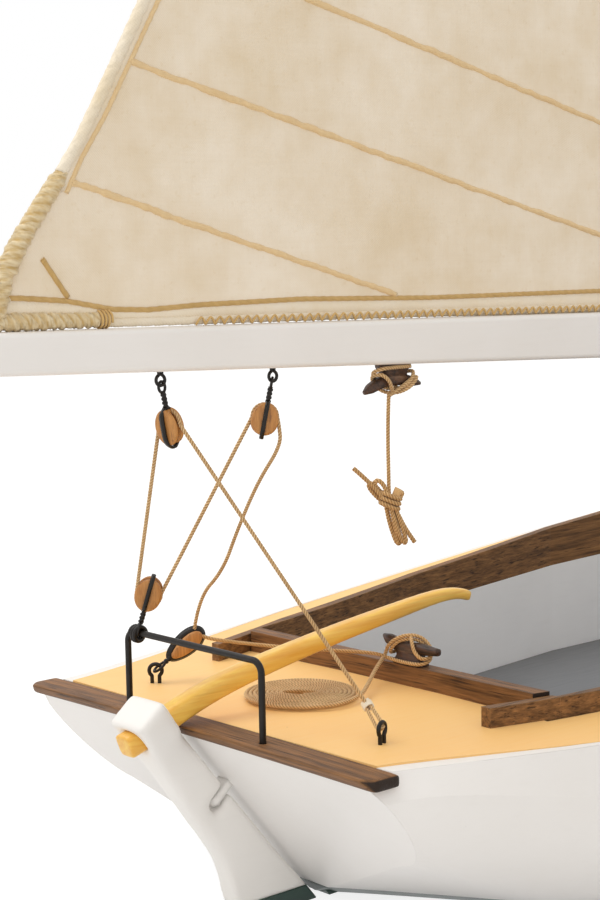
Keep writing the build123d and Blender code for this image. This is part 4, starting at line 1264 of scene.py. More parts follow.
@dataclass
class MainsailTrim:
    """Seams, hems, rolled edges and lacing of the mainsail."""

    sail: Sail
    finishes: Finishes
    stitch_width: float = 1.2
    hem_width: float = 3.9
    roll_z: Tuple[float, ...] = (112.1, 116.0, 120.0, 125.0, 131.0, 137.5)
    foot_roll_end: float = -221.5
    lacing_from: float = -202.0
    lacing_step: float = 2.2
    first_seams: Tuple[Pair, ...] = ((135.6, 95.4), (156.3, 124.2), (177.0, 148.7))
    seam_x: float = -86.8
    seam_rise: float = 21.5
    seam_slope: float = -0.205
    foot_stitch: Tuple[Pair, ...] = (
        (-244.0, 116.4), (-239.0, 116.2), (-229.5, 115.4), (-219.7, 113.5), (-212.0, 113.1),
        (-200.5, 113.5), (-175.6, 113.6), (-140.4, 112.5), (-86.8, 111.9), (-10.0, 109.7),
        (67.6, 107.4))
    patch_stitch: Tuple[Pair, ...] = ((-234.0, 122.7), (-229.0, 116.0))
    hem_stitch: Tuple[Pair, ...] = (
        (-228.8, 133.7), (-225.4, 139.6), (-220.1, 147.0), (-214.2, 156.5), (-207.7, 167.2))
    # One loop of the lacing: share of its step, half width and height above the boom.
    lacing_loop: Tuple[Place, ...] = (
        (0.0, 1.15, 0.2), (0.35, 1.3, 1.2), (0.6, 1.25, 1.5), (0.85, 1.2, 0.9), (1.0, 1.15, 0.2))

    def hem_inner(self, z: float) -> float:
        """Gives the x of the leech hem's inner edge.

        Args:
            z: height on the sail.

        Returns:
            The x.
        """
        if z <= self.hem_stitch[-1][1]:
            return between([(b, a) for a, b in self.hem_stitch], z)
        return self.sail.leech_x(z) + self.hem_width

    def seam_lines(self) -> List[Line]:
        """Lays out the seams from the leech to the luff or the foot.

        Returns:
            One line for each seam.
        """
        lines, zl = [], self.first_seams[-1][0]
        pairs = list(self.first_seams)
        while zl + self.seam_rise < self.sail.leech[-1][1] - 8.0:
            zl += self.seam_rise
            x = self.hem_inner(zl)
            pairs.append((zl, zl + self.seam_slope * (self.seam_x - x)))
        for start_z, at_seam_x in pairs:
            start_x = self.hem_inner(start_z)
            slope = (at_seam_x - start_z) / (self.seam_x - start_x)
            wander = random.Random(int(start_z * 10))
            line, x = [], start_x
            while x < self.sail.luff[0][0] - 0.5:
                z = start_z + slope * (x - start_x) + wander.uniform(-0.16, 0.16)
                if z < self.foot_line(x) + 0.3:
                    break
                line.append((x, z))
                x += 2.5
            if len(line) > 3:
                lines.append(self.sail.laid(line, 0.8))
        return lines

    def foot_line(self, x: float) -> float:
        """Gives the height of the foot's stitched line."""
        return between(self.foot_stitch, x)

    def build(self) -> List[bpy.types.Object]:
        """Makes every piece that goes on the mainsail.

        Returns:
            The pieces.
        """
        made = [self._seams(), self._hem(), self._edges(), self._low_stitches()]
        made += self._rolls()
        made.append(self._lacing())
        return made

    def _seams(self) -> bpy.types.Object:
        """Stitches the seams.

        Returns:
            The piece.
        """
        whole = Surface()
        for line in self.seam_lines():
            whole.join(STITCH.rope(line, lambda s: self.stitch_width
                                   * (1.1 + 0.3 * noise.noise(Vector((s * 55.0, 0.4, 0.0))))))
        return whole.piece("main_seams", Body.BOOM, self.finishes.seam, "sail_canvas")

    def _edges(self) -> bpy.types.Object:
        """Stitches the leech's and the luff's hem.

        Returns:
            The piece.
        """
        whole = Surface()
        top = self.sail.leech[-1][1] - 4.0
        hem = list(self.hem_stitch)
        z = hem[-1][1] + 6.0
        while z < top:
            hem.append((self.hem_inner(z), z))
            z += 6.0
        whole.join(STITCH.rope(self.sail.laid(hem, 0.8), self.stitch_width * 1.05))
        luff = [(self.sail.luff[0][0] - 4.0, z) for z in range(112, 618, 6)]
        whole.join(STITCH.rope(self.sail.laid(luff, 0.8), self.stitch_width * 0.8))
        return whole.piece("main_edge_stitches", Body.BOOM, self.finishes.seam, "sail_canvas")

    def _low_stitches(self) -> bpy.types.Object:
        """Stitches the foot and the clew patch with browner thread.

        Returns:
            The piece.
        """
        whole = Surface()
        for points in (self.foot_stitch, self.patch_stitch):
            whole.join(STITCH.rope(self.sail.laid(points, 0.8), self.stitch_width))
        return whole.piece("foot_stitches", Body.BOOM, self.finishes.stitch, "sail_canvas")

    def _hem(self) -> bpy.types.Object:
        """Doubles the cloth along the leech, luff and foot.

        Returns:
            The piece.
        """
        whole = Surface()
        zs = [134.0 + 3.0 * i for i in range(165)]
        strips = [[((self.sail.leech_x(z) + 0.1, z), (self.hem_inner(z), z)) for z in zs]]
        xs = [-243.5 + 5.0 * i for i in range(62)]
        strips.append([((x, self.sail.foot_z(x) + 0.4), (x, self.foot_line(x))) for x in xs])
        luff_x = self.sail.luff[0][0]
        strips.append([((luff_x - 4.0, z), (luff_x - 0.1, z)) for z in range(108, 626, 4)])
        for strip in strips:
            whole.join(self._band(strip))
        return whole.piece("main_hems", Body.BOOM, self.finishes.hem, "sail_canvas")

    def _band(self, strip: Sequence[Tuple[Pair, Pair]]) -> Surface:
        """Makes one doubled strip, a little proud of both faces of the cloth.

        Args:
            strip: its outer and inner point at each step.

        Returns:
            The closed strip.
        """
        made = Surface()
        proud = self.sail.thickness / 2 + 0.14
        for outer, inner in strip:
            middle = ((outer[0] + inner[0]) / 2, (outer[1] + inner[1]) / 2)
            ring = [self.sail.point(*outer, 0.06), self.sail.point(*middle, proud + 0.06),
                    self.sail.point(*inner, proud), self.sail.point(*inner, -proud),
                    self.sail.point(*middle, -proud - 0.06), self.sail.point(*outer, -0.06)]
            made.points += ring
        for i in range(len(strip) - 1):
            for k in range(6):
                n = (k + 1) % 6
                made.faces.append((i * 6 + k, i * 6 + n, i * 6 + 6 + n, i * 6 + 6 + k))
        made.faces.append(tuple(range(6)))
        made.faces.append(tuple(reversed(range(len(made.points) - 6, len(made.points)))))
        return made

    def _rolls(self) -> List[bpy.types.Object]:
        """Rolls the leech and the foot, thick at the clew and thin beyond it.

        Returns:
            The thick golden rolls, the thin pale ones and a lashing between them.
        """
        foot_x = [self.roll_foot(s) for s in (0.0, 0.25, 0.5, 0.75, 1.0)]
        thick, thin, tie = Surface(), Surface(), []
        leech = self.sail.laid([(self.sail.leech_x(z) + 1.0, z) for z in self.roll_z], 0.4)
        foot = self.sail.laid([(x, BOOM_LINE.top(x) + 1.6) for x in foot_x], 0.4)
        for line, width in ((leech, 3.9), (foot, 3.5)):
            thick.join(ROLL.rope(line, lambda s, w=width: (w - 0.9 * s) * min(
                1.0, 0.62 + (1.0 - s) * 5.0) * (1 + 0.18 * noise.noise(
                    Vector((s * 16.0, w, 0.0))))))
        above = self.sail.laid([(self.sail.leech_x(z) + 0.8, z)
                                for z in range(137, 612, 6)], 0.6)
        thin.join(EDGE_ROLL.rope(above, 2.3))
        beyond = self.sail.laid([(x, BOOM_LINE.top(x) + 1.0)
                                 for x in range(int(self.foot_roll_end), 67, 5)], 0.6)
        thin.join(EDGE_ROLL.rope(beyond, 1.7))
        for k in range(26):
            angle = 2 * math.pi * k / 7
            tie.append(foot[-1] + Vector((0.1 * k - 1.6, 1.5 * math.cos(angle),
                                          1.5 * math.sin(angle) + 0.1)))
        lashing = tube(smooth_loop(tie, 4), 0.24, 7)
        return [thick.piece("clew_roll", Body.BOOM, self.finishes.roll, "sail_canvas"),
                thin.piece("edge_roll", Body.BOOM, self.finishes.hem, "sail_canvas"),
                lashing.piece("foot_lashing", Body.BOOM, self.finishes.stitch, "rope")]

    def roll_foot(self, share: float) -> float:
        """Gives the x at a share of the foot's thick roll, from the clew."""
        start = self.sail.leech[0][0] + 0.5
        return start + (self.foot_roll_end - start) * share

    def _lacing(self) -> bpy.types.Object:
        """Lays the looped lacing along the boom's top.

        Returns:
            The piece.
        """
        whole, x = Surface(), self.lacing_from
        step = self.lacing_step
        while x < self.sail.luff[0][0] - 2.0:
            z = BOOM_LINE.top(x)
            for side in (-1, 1):
                bent = [Vector((x + share * step, side * out, z + up))
                        for share, out, up in self.lacing_loop]
                whole.join(tube(smooth_loop(bent, 3), 0.22, 6))
            x += step
        return whole.piece("foot_lacing", Body.BOOM, self.finishes.stitch, "rope")


def smooth_loop(points: Line, steps: int) -> Line:
    """Rounds a short run of points.

    Args:
        points: the corners.
        steps: points on each run.

    Returns:
        A line through the corners.
    """
    ends = [points[0] * 2 - points[1], *points, points[-1] * 2 - points[-2]]
    made = []
    for a, b, c, d in zip(ends, ends[1:], ends[2:], ends[3:]):
        for i in range(steps):
            t = i / steps
            made.append(0.5 * ((2 * b) + (c - a) * t + (2 * a - 5 * b + 4 * c - d) * t * t
                               + (3 * b - a - 3 * c + d) * t ** 3))
    made.append(points[-1].copy())
    return made


@dataclass
class Block:
    """A strapped wooden block: where it is, which way it pulls and faces."""

    node: str
    body: Body
    centre: Vector
    pull: Vector
    face: Vector
    reach: float
    long: float = 6.4
    wide: float = 5.4
    thick: float = 2.9
    link: float = 0.9
    taper: float = 0.0
    band_round_rim: bool = False

    def axes(self) -> Tuple[Vector, Vector, Vector]:
        """Gives its long, sideways and facing directions.

        Returns:
            The three unit vectors.
        """
        long = self.pull.normalized()
        face = (self.face - long * self.face.dot(long)).normalized()
        return long, face.cross(long), face

    def outline(self, angle: float, grow: float = 0.0) -> Pair:
        """Gives the shell's outline at an angle from its pull.

        Args:
            angle: the angle in radians.
            grow: how far outside the shell.

        Returns:
            The place along the pull and sideways.
        """
        half = self.long / 2 + grow
        taper = 1.0 - self.taper * math.cos(angle)
        return half * math.cos(angle), (self.wide / 2 + grow) * taper * math.sin(angle)

    def cheek(self, side: int) -> Surface:
        """Makes one rounded cheek of the shell.

        Args:
            side: 1 for the side that is seen, -1 for the other.

        Returns:
            The cheek.
        """
        long, across, face = self.axes()
        made, steps = Surface(), 36
        depths = [(0.55, 0.93), (0.75, 1.0), (1.1, 0.99), (1.38, 0.93), (1.5, 0.8), (1.56, 0.4)]
        scale = self.thick / 3.0
        for depth, share in depths:
            for k in range(steps):
                a, b = self.outline(2 * math.pi * k / steps)
                made.points.append(self.centre + long * a * share + across * b * share
                                   + face * (side * depth * scale))
        return made.skin(steps)

    def sheave(self) -> Surface:
        """Makes the sheave between the cheeks and the partition above it.

        Returns:
            The two solids.
        """
        long, across, face = self.axes()
        made = turned(self.centre - face * 0.55, face, [
            (0.0, 1.5), (0.1, 1.75), (0.45, 1.35), (0.65, 1.35), (1.0, 1.75), (1.1, 1.5)])
        return made.join(turned(self.centre + long * (self.long / 2 - 0.9) - face * 0.6, face,
                                [(0.0, 0.8), (1.2, 0.8)]))

    def strap(self) -> Surface:
        """Bends the wire strap round the shell, twists its neck and ends it in a link.

        Returns:
            The strap, its neck and its link.
        """
        long, across, face = self.axes()
        half, deep = self.long / 2, self.thick / 2 + 0.3
        if self.band_round_rim:
            line = []
            for k in range(41):
                a, b = self.outline(2 * math.pi * k / 40, 0.28)
                line.append(self.centre + long * a + across * b)
            made = swept(line[:-1], lambda _i, _s: [
                (0.34, 0.7), (-0.26, 0.7), (-0.26, -0.7), (0.34, -0.7)], True, across)
        else:
            corners = [(half + 0.2, 0.25), (half * 0.72, deep * 0.92), (0, deep + 0.12),
                       (-half * 0.72, deep), (-half - 0.35, 0.62), (-half - 0.5, 0.0),
                       (-half - 0.35, -0.62), (-half * 0.72, -deep), (0, -deep - 0.12),
                       (half * 0.72, -deep * 0.92), (half + 0.2, -0.25)]
            line = smooth_loop([self.centre + long * a + face * b for a, b in corners], 4)
            made = swept(line, lambda _i, _s: [
                (0.2, 0.42), (-0.2, 0.42), (-0.28, 0.0), (-0.2, -0.42), (0.2, -0.42),
                (0.28, 0.0)], False, long)
        neck = self.centre + long * (half - 0.1)
        link = self.centre + long * (self.reach - self.link)
        made.join(WIRE_TWIST.rope(resampled([neck, link - long * (self.link - 0.15)], 0.1), 1.15))
        return made.join(hoop(link, across, self.link, 0.28, 1.12, long))

    def pin(self) -> Surface:
        """Makes the pin's two heads.

        Returns:
            The pin.
        """
        long, _, face = self.axes()
        deep = self.thick / 2 + 0.02
        return turned(self.centre + long * (self.long * 0.26) - face * deep, face, [
            (0.0, 0.1), (0.05, 0.5), (2 * deep - 0.05, 0.5), (2 * deep, 0.1)])

    def build(self, finishes: Finishes) -> None:
        """Makes the block's shell and ironwork.

        Args:
            finishes: the model's materials.
        """
        shell = self.cheek(1).join(self.cheek(-1)).join(self.sheave())
        wood = shell.piece(self.node + "_shell", self.body, finishes.block, "block_wood")
        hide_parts(self.node)
        iron = self.strap()
        if self.band_round_rim:
            iron.join(self.pin())
        iron.piece(self.node + "_strap", self.body, finishes.black, "black_metal")


@dataclass
class Eye:
    """A bent wire eye, open towards the wood that both its legs enter."""

    node: str
    body: Body
    foot: Vector
    up: Vector
    across: Vector
    tall: float
    wide: float
    legs: float
    wire: float
    sink: float = 0.9

    def middle(self) -> Vector:
        """Gives the middle of its loop."""
        return self.foot + self.up * (self.tall - self.wide / 2)

    def build(self, finishes: Finishes) -> None:
        """Bends the wire and lets it stand for its node.

        Args:
            finishes: the model's materials.
        """
        radius = self.wide / 2 - self.wire
        gap = math.asin(min(1.0, self.legs / 2 / radius))
        middle, half = self.middle(), self.across * (self.legs / 2)
        line = [self.foot + half - self.up * self.sink, self.foot + half]
        steps = 22
        for k in range(steps + 1):
            angle = gap + (2 * math.pi - 2 * gap) * k / steps
            line.append(middle + self.across * (radius * math.sin(angle))
                        - self.up * (radius * math.cos(angle)))
        line += [self.foot - half, self.foot - half - self.up * self.sink]
        made = tube(resampled(line, 0.2), self.wire, 9)
        eye = made.piece(self.node + "_wire", self.body, finishes.black, "black_metal")
        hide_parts(self.node)


@dataclass
class Mainsheet:
    """Blocks, falls and lead of the mainsheet."""

    finishes: Finishes
    diameter: float = 0.8
    deck_z: float = 36.5
    port_eye: Pair = (-189.0, 31.0)
    starboard_eye: Pair = (-188.9, -34.3)
    starboard_across: Place = (0.95, 0.312, 0.0)
    horse_block: Place = (-203.2, 13.7, 58.9)
    horse_hold: Place = (-204.0, 16.4, 51.2)
    deck_block: Place = (-183.2, 28.3, 43.7)
    boom_eyes: Pair = (-209.5, -182.9)
    aft_block: Place = (-207.7, 0.0, 92.0)
    forward_block: Place = (-185.1, 0.0, 91.5)
    facing: Place = (-0.66, -0.75, 0.0)
    aft_facing: Place = (-0.967, -0.223, 0.0)
    seen_across: Place = (0.745, -0.667, 0.0)
    whipping: Place = (-186.9, -28.6, 41.9)
    fall_radius: float = 2.35
    # How far below the deck block's middle the rope leaves its sheave.
    deck_exit: float = 2.2

    def eyes(self) -> Dict[str, Eye]:
        """Lays out the four wire eyes.

        Returns:
            Each eye by its name.
        """
        made = {}
        for name, x in zip(("aft", "forward"), self.boom_eyes):
            foot = Vector((x, 0, BOOM_LINE.bottom(x)))
            made[name] = Eye("boom_eye_" + name, Body.BOOM, foot, -UP, Vector((1, 0, 0)),
                             tall=2.9, wide=2.6, legs=0.7, wire=0.32)
        for name, place, across in (("port", self.port_eye, self.seen_across),
                                    ("starboard", self.starboard_eye, self.starboard_across)):
            made[name] = Eye("deck_eye_" + name, Body.HULL, Vector((*place, self.deck_z)), UP,
                             Vector(across), tall=4.1, wide=3.4, legs=1.5, wire=0.4)
        return made

    def blocks(self) -> Dict[str, Block]:
        """Lays out the four blocks.

        Returns:
            Each block by its name.
        """
        face, eyes, made = Vector(self.facing), self.eyes(), {}
        for name, place, turn, long, wide, taper in (
                ("aft", self.aft_block, self.aft_facing, 6.7, 4.8, 0.0),
                ("forward", self.forward_block, self.facing, 6.2, 5.2, 0.12)):
            centre = Vector(place)
            pull = eyes[name].middle() - centre
            made[name] = Block("boom_block_" + name, Body.BOOM, centre, pull, Vector(turn),
                               pull.length - 0.4, long=long, wide=wide, taper=taper)
        centre, hold = Vector(self.horse_block), Vector(self.horse_hold)
        made["horse"] = Block("horse_block", Body.HULL, centre, hold - centre,
                              face, (hold - centre).length + 0.6, long=6.6, wide=5.2, link=1.3)
        centre = Vector(self.deck_block)
        pull = eyes["port"].middle() - centre
        made["deck"] = Block("deck_block", Body.HULL, centre, pull,
                             -pull.cross(UP), pull.length + 0.2, long=7.7, wide=3.2, thick=2.8,
                             link=1.2, taper=0.2, band_round_rim=True)
        return made

    def build(self) -> None:
        """Makes the blocks, the falls and the lead to the cleat."""
        blocks = self.blocks()
        for fitting in (*blocks.values(), *self.eyes().values()):
            fitting.build(self.finishes)
        self._falls(blocks)
        self._becket()
        self._lead(blocks["deck"])
        self._horse_collar()

    def _fall(self, name: str, points: Line) -> None:
        """Runs one fall from a hull block up to a boom block.

        Args:
            name: the fall's name.
            points: its points, the hull's end first.
        """
        line = resampled(points, 0.5) if len(points) == 2 else smooth_route(points, 0.5)
        fall = ROPE.rope(line, self.diameter).piece(name, None, self.finishes.pale_rope, "rope")
        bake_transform(fall)

    def _falls(self, blocks: Dict[str, Block]) -> None:
        """Runs the four falls and the turns over the sheaves.

        Args:
            blocks: the blocks by name.
        """
        side = Vector(self.seen_across).normalized()
        aft_side = Vector(self.aft_facing).cross(UP).normalized()
        aft_side = aft_side if aft_side.dot(side) > 0 else -aft_side
        aft, forward = blocks["aft"].centre, blocks["forward"].centre
        horse, deck = blocks["horse"].centre, blocks["deck"].centre
        r, high = self.fall_radius, UP * 0.5
        self._fall("fall_becket", [Vector(self.whipping), aft + aft_side * r + high])
        self._fall("fall_horse_aft", [horse - side * r, aft - aft_side * r + high])
        self._fall("fall_horse_forward", [horse + side * r, forward - side * r + high])
        top = forward + side * r
        low = deck - blocks["deck"].pull.normalized() * self.deck_exit + Vector((0, 0, 1.2))
        self._fall("fall_deck", [low, low + Vector((0.9, -0.7, 7.0)), low.lerp(top, 0.3)
                                 + side * 1.0, low.lerp(top, 0.5) + side * 0.7,
                                 low.lerp(top, 0.72) + side * 1.0, top + side * 0.6
                                 + Vector((0, 0, -5.0)), top + side * 0.3
                                 + Vector((0, 0, -1.2)), top + high])
        for name, centre, across, up, body in (
                ("turn_aft", aft, aft_side, 1, Body.BOOM),
                ("turn_forward", forward, side, 1, Body.BOOM),
                ("turn_horse", horse, side, -1, Body.HULL)):
            lift = high if up > 0 else Vector()
            arc = [centre + across * (r * math.cos(a)) + UP * (up * r * math.sin(a)) + lift
                   for a in [math.pi * k / 24 for k in range(25)]]
            ROPE.rope(arc, self.diameter).piece(name, body, self.finishes.pale_rope, "rope")

    def _becket(self) -> None:
        """Doubles the sheet's fixed end through its eye and whips it."""
        eye = self.eyes()["starboard"].middle()
        knot = Vector(self.whipping)
        up = (knot - eye).normalized()
        side = up.cross(Vector((-0.66, -0.75, 0.1))).normalized()
        whole = Surface()
        points = [knot + up * 0.8 + side * 0.3, knot + side * 0.42, knot.lerp(eye, 0.5)
                  + side * 0.55, eye + up * 0.9 + side * 0.6, eye + up * 0.2 + side * 0.25,
                  eye + up * 0.2 - side * 0.25, eye + up * 0.9 - side * 0.6,
                  knot.lerp(eye, 0.5) - side * 0.55, knot - side * 0.42,
                  knot + up * 0.8 - side * 0.3]
        whole.join(ROPE.rope(smooth_loop(points, 8), self.diameter * 0.9))
        whole.piece("becket", Body.HULL, self.finishes.pale_rope, "rope")
        wound = []
        for k in range(60):
            angle = 2 * math.pi * k / 12
            wound.append(knot + up * (-0.8 + 0.33 * k / 12) + side * (0.92 * math.cos(angle))
                         + up.cross(side) * (0.62 * math.sin(angle)))
        tube(wound, 0.17, 6).piece("becket_whipping", Body.HULL, self.finishes.hem, "rope")

    def _lead(self, deck: Block) -> None:
        """Leads the sheet from the deck block under the tiller to its cleat.

        Args:
            deck: the deck block.
        """
        low = deck.centre - deck.pull.normalized() * self.deck_exit
        points = [low + Vector((0.0, 0, 1.2)), low + Vector((0.9, -0.6, 0.4)),
                  low + Vector((3.0, -3.0, -0.6)), (-168.5, 13.0, 42.9), (-161.0, 4.0, 42.4),
                  (-157.5, -0.6, 42.2), *CLEAT_TURNS.on_sheet_cleat()]
        line = smooth_route(points, 0.3)
        ROPE.rope(line, self.diameter).piece("sheet_lead", Body.HULL, self.finishes.rope, "rope")

    def _horse_collar(self) -> None:
        """Winds the two turns of wire that ride on the horse."""
        hold = Vector(self.horse_hold)
        wound = []
        for k in range(61):
            angle = 2 * math.pi * k / 24
            wound.append(hold + Vector((1.25 * math.cos(angle), -0.9 + 1.8 * k / 60,
                                        1.35 * math.sin(angle) - 0.2)))
        tube(wound, 0.45, 9).piece("horse_collar", Body.HULL, self.finishes.black, "black_metal")


@dataclass(frozen=True)
class Cleat:
    """A whittled cleat: a foot on the wood and a horn that thins to both ends.

    Its tips are given along the cleat and up from its foot, with their half thickness.
    """

    node: str
    body: Body
    foot: Vector
    along: Vector
    up: Vector
    tips: Tuple[Place, Place]
    foot_half: float = 3.9
    throat: float = 2.2
    thick: float = 1.15

    def place(self, along: float, up: float) -> Vector:
        """Gives a point in the cleat's middle plane."""
        return self.foot + self.along * along + self.up * up

    def build(self, finishes: Finishes) -> None:
        """Makes the foot and the horn and lets them stand for the node.

        Args:
            finishes: the model's materials.
        """
        side = self.along.cross(self.up)
        (a, rise_a, end_a), (b, rise_b, end_b) = self.tips
        middle = self.throat + self.thick
        corners = [(a, rise_a), (a * 0.72, (rise_a + middle) / 2), (a * 0.36, middle),
                   (0.0, middle - 0.15), (b * 0.36, middle), (b * 0.72, (rise_b + middle) / 2),
                   (b, rise_b)]
        line = smooth_loop([self.place(*c) for c in corners], 5)
        count = len(line) - 1
        shares = ((0.0, end_a), (0.12, 0.85), (0.3, 1.05), (0.7, 1.0), (0.86, 0.75), (1.0, end_b))

        def ring(step: int, _travelled: float) -> List[Pair]:
            """Gives the horn's rounded section at a step."""
            r = self.thick * between(shares, step / count)
            return [(r * 1.15 * abs(math.cos(q)) ** 0.7 * math.copysign(1, math.cos(q)),
                     r * abs(math.sin(q)) ** 0.7 * math.copysign(1, math.sin(q)))
                    for q in [2 * math.pi * (k + 0.5) / 12 for k in range(12)]]

        made = swept(line, ring, False, side)
        root = [self.place(0.0, -0.3), self.place(0.0, 0.6), self.place(0.0, 1.6),
                self.place(0.0, middle)]
        halves = (self.foot_half, self.foot_half * 0.95, self.foot_half * 0.72,
                  self.foot_half * 0.66)
        made.join(swept(root, lambda i, _s: [
            (halves[i] * c, 1.25 * s) for c, s in ((1, 1), (-1, 1), (-1, -1), (1, -1))],
            False, self.along))
        cleat = made.piece(self.node + "_wood", self.body, finishes.dark_walnut, "walnut")
        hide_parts(self.node)


@dataclass(frozen=True)
class CleatTurns:
    """Figure-of-eight turns of rope on a cleat.

    Each point is along the cleat, out towards the seen side and up from its foot.
    """

    turns: Tuple[Place, ...] = (
        (-3.2, 1.7, 0.6), (0.0, 1.8, 0.55), (3.2, 1.7, 0.6), (4.6, 1.2, 0.8), (5.1, 0.0, 1.2),
        (4.3, -1.5, 1.9), (2.6, -1.6, 3.9), (1.2, -0.9, 4.9), (-0.6, 0.3, 5.0),
        (-2.2, 1.4, 4.5), (-3.4, 1.9, 3.2), (-4.6, 1.3, 1.9), (-5.1, 0.0, 1.6),
        (-4.4, -1.4, 2.0), (-2.8, -1.7, 3.9), (-1.2, -0.9, 5.2), (0.5, 0.3, 5.5),
        (2.0, 1.6, 4.7), (3.0, 2.1, 3.2), (4.4, 1.7, 1.8), (5.3, 0.1, 1.9), (4.7, -1.4, 2.7),
        (3.0, -1.8, 4.6), (1.2, -0.8, 5.8), (-0.8, 0.6, 5.8), (-2.6, 1.9, 4.9),
        (-4.2, 2.3, 3.4), (-5.2, 1.6, 2.4))
    sheet_place: Place = (-154.0, -6.8, 40.4)
    boom_x: float = -151.2

    def cleats(self) -> List[Cleat]:
        """Lays out the two cleats.

        Returns:
            The cleats.
        """
        under = Vector((self.boom_x, 0, BOOM_LINE.bottom(self.boom_x)))
        return [
            Cleat("sheet_cleat", Body.HULL, Vector(self.sheet_place), Vector((0, -1, 0)), UP,
                  ((-7.5, 4.8, 0.3), (7.6, 3.4, 0.62))),
            Cleat("boom_cleat", Body.BOOM, under, Vector((1, 0, 0)), -UP,
                  ((-8.0, 5.3, 0.35), (7.5, 4.4, 0.3)))]

    def on_sheet_cleat(self) -> List[Place]:
        """Lays the turns on the sheet's cleat.

        Returns:
            The turns, ending where the spare end leaves.
        """
        x, y, z = self.sheet_place
        made = [(x - out, y - along, z + up) for along, out, up in self.turns]
        return made + [(x - 2.2, y + 5.2, z + 1.2)]

    def on_boom_cleat(self) -> List[Place]:
        """Lays the turns under the boom, starting with a hitch round the foot.

        Returns:
            The turns, ending where the line hangs.
        """
        z = BOOM_LINE.bottom(self.boom_x)
        made = [(self.boom_x - along, -out, z - up) for along, out, up in self.turns]
        return made + [(-151.6, -1.6, 94.6), (-152.4, -0.2, 93.6)]


CLEAT_TURNS = CleatTurns()


@dataclass
class SpareSheet:
    """The sheet's spare end: from its cleat into a flat coil on the deck."""

    finishes: Finishes
    diameter: float = 0.85
    route: Tuple[Place, ...] = (
        (-156.2, -1.6, 41.6), (-159.4, -3.4, 40.9), (-161.6, -4.2, 39.8), (-167.6, -8.2, 38.3),
        (-171.2, -10.1, 37.45), (-178.2, -11.2, 37.28))
    centre: Pair = (-176.6, 0.8)
    coil_z: float = 37.22
    outer: float = 11.2
    core: Pair = (3.7, 1.5)
    core_turn: float = math.radians(-49.0)
    turns: int = 9
    per_turn: int = 16
    start: float = math.radians(-118.0)

    def coil(self) -> List[Place]:
        """Winds the turns from the outside to the core.

        Returns:
            The coil's control points.
        """
        made = []
        count = self.turns * self.per_turn
        for k in range(count + 1):
            share = k / count
            angle = self.start - 2 * math.pi * k / self.per_turn
            a, b = self.core
            local = angle - self.core_turn
            inner = a * b / math.hypot(b * math.cos(local), a * math.sin(local))
            r = self.outer + (inner - self.outer) * share
            made.append((self.centre[0] + r * math.cos(angle), self.centre[1] + r * math.sin(angle),
                         self.coil_z))
        return made

    def build(self) -> None:
        points = list(self.route) + self.coil()
        line = smooth_route(points, 0.19)
        rope = ROPE.rope(line, self.diameter).piece("spare_sheet", Body.HULL,
                                                    self.finishes.pale_rope, "rope")
        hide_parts("sheet_tail", "sheet_coil")
        path = [at(*p) for p in resampled(line, 0.4)]
        LOG.info("spare sheet: %.0f mm", line_length(line))


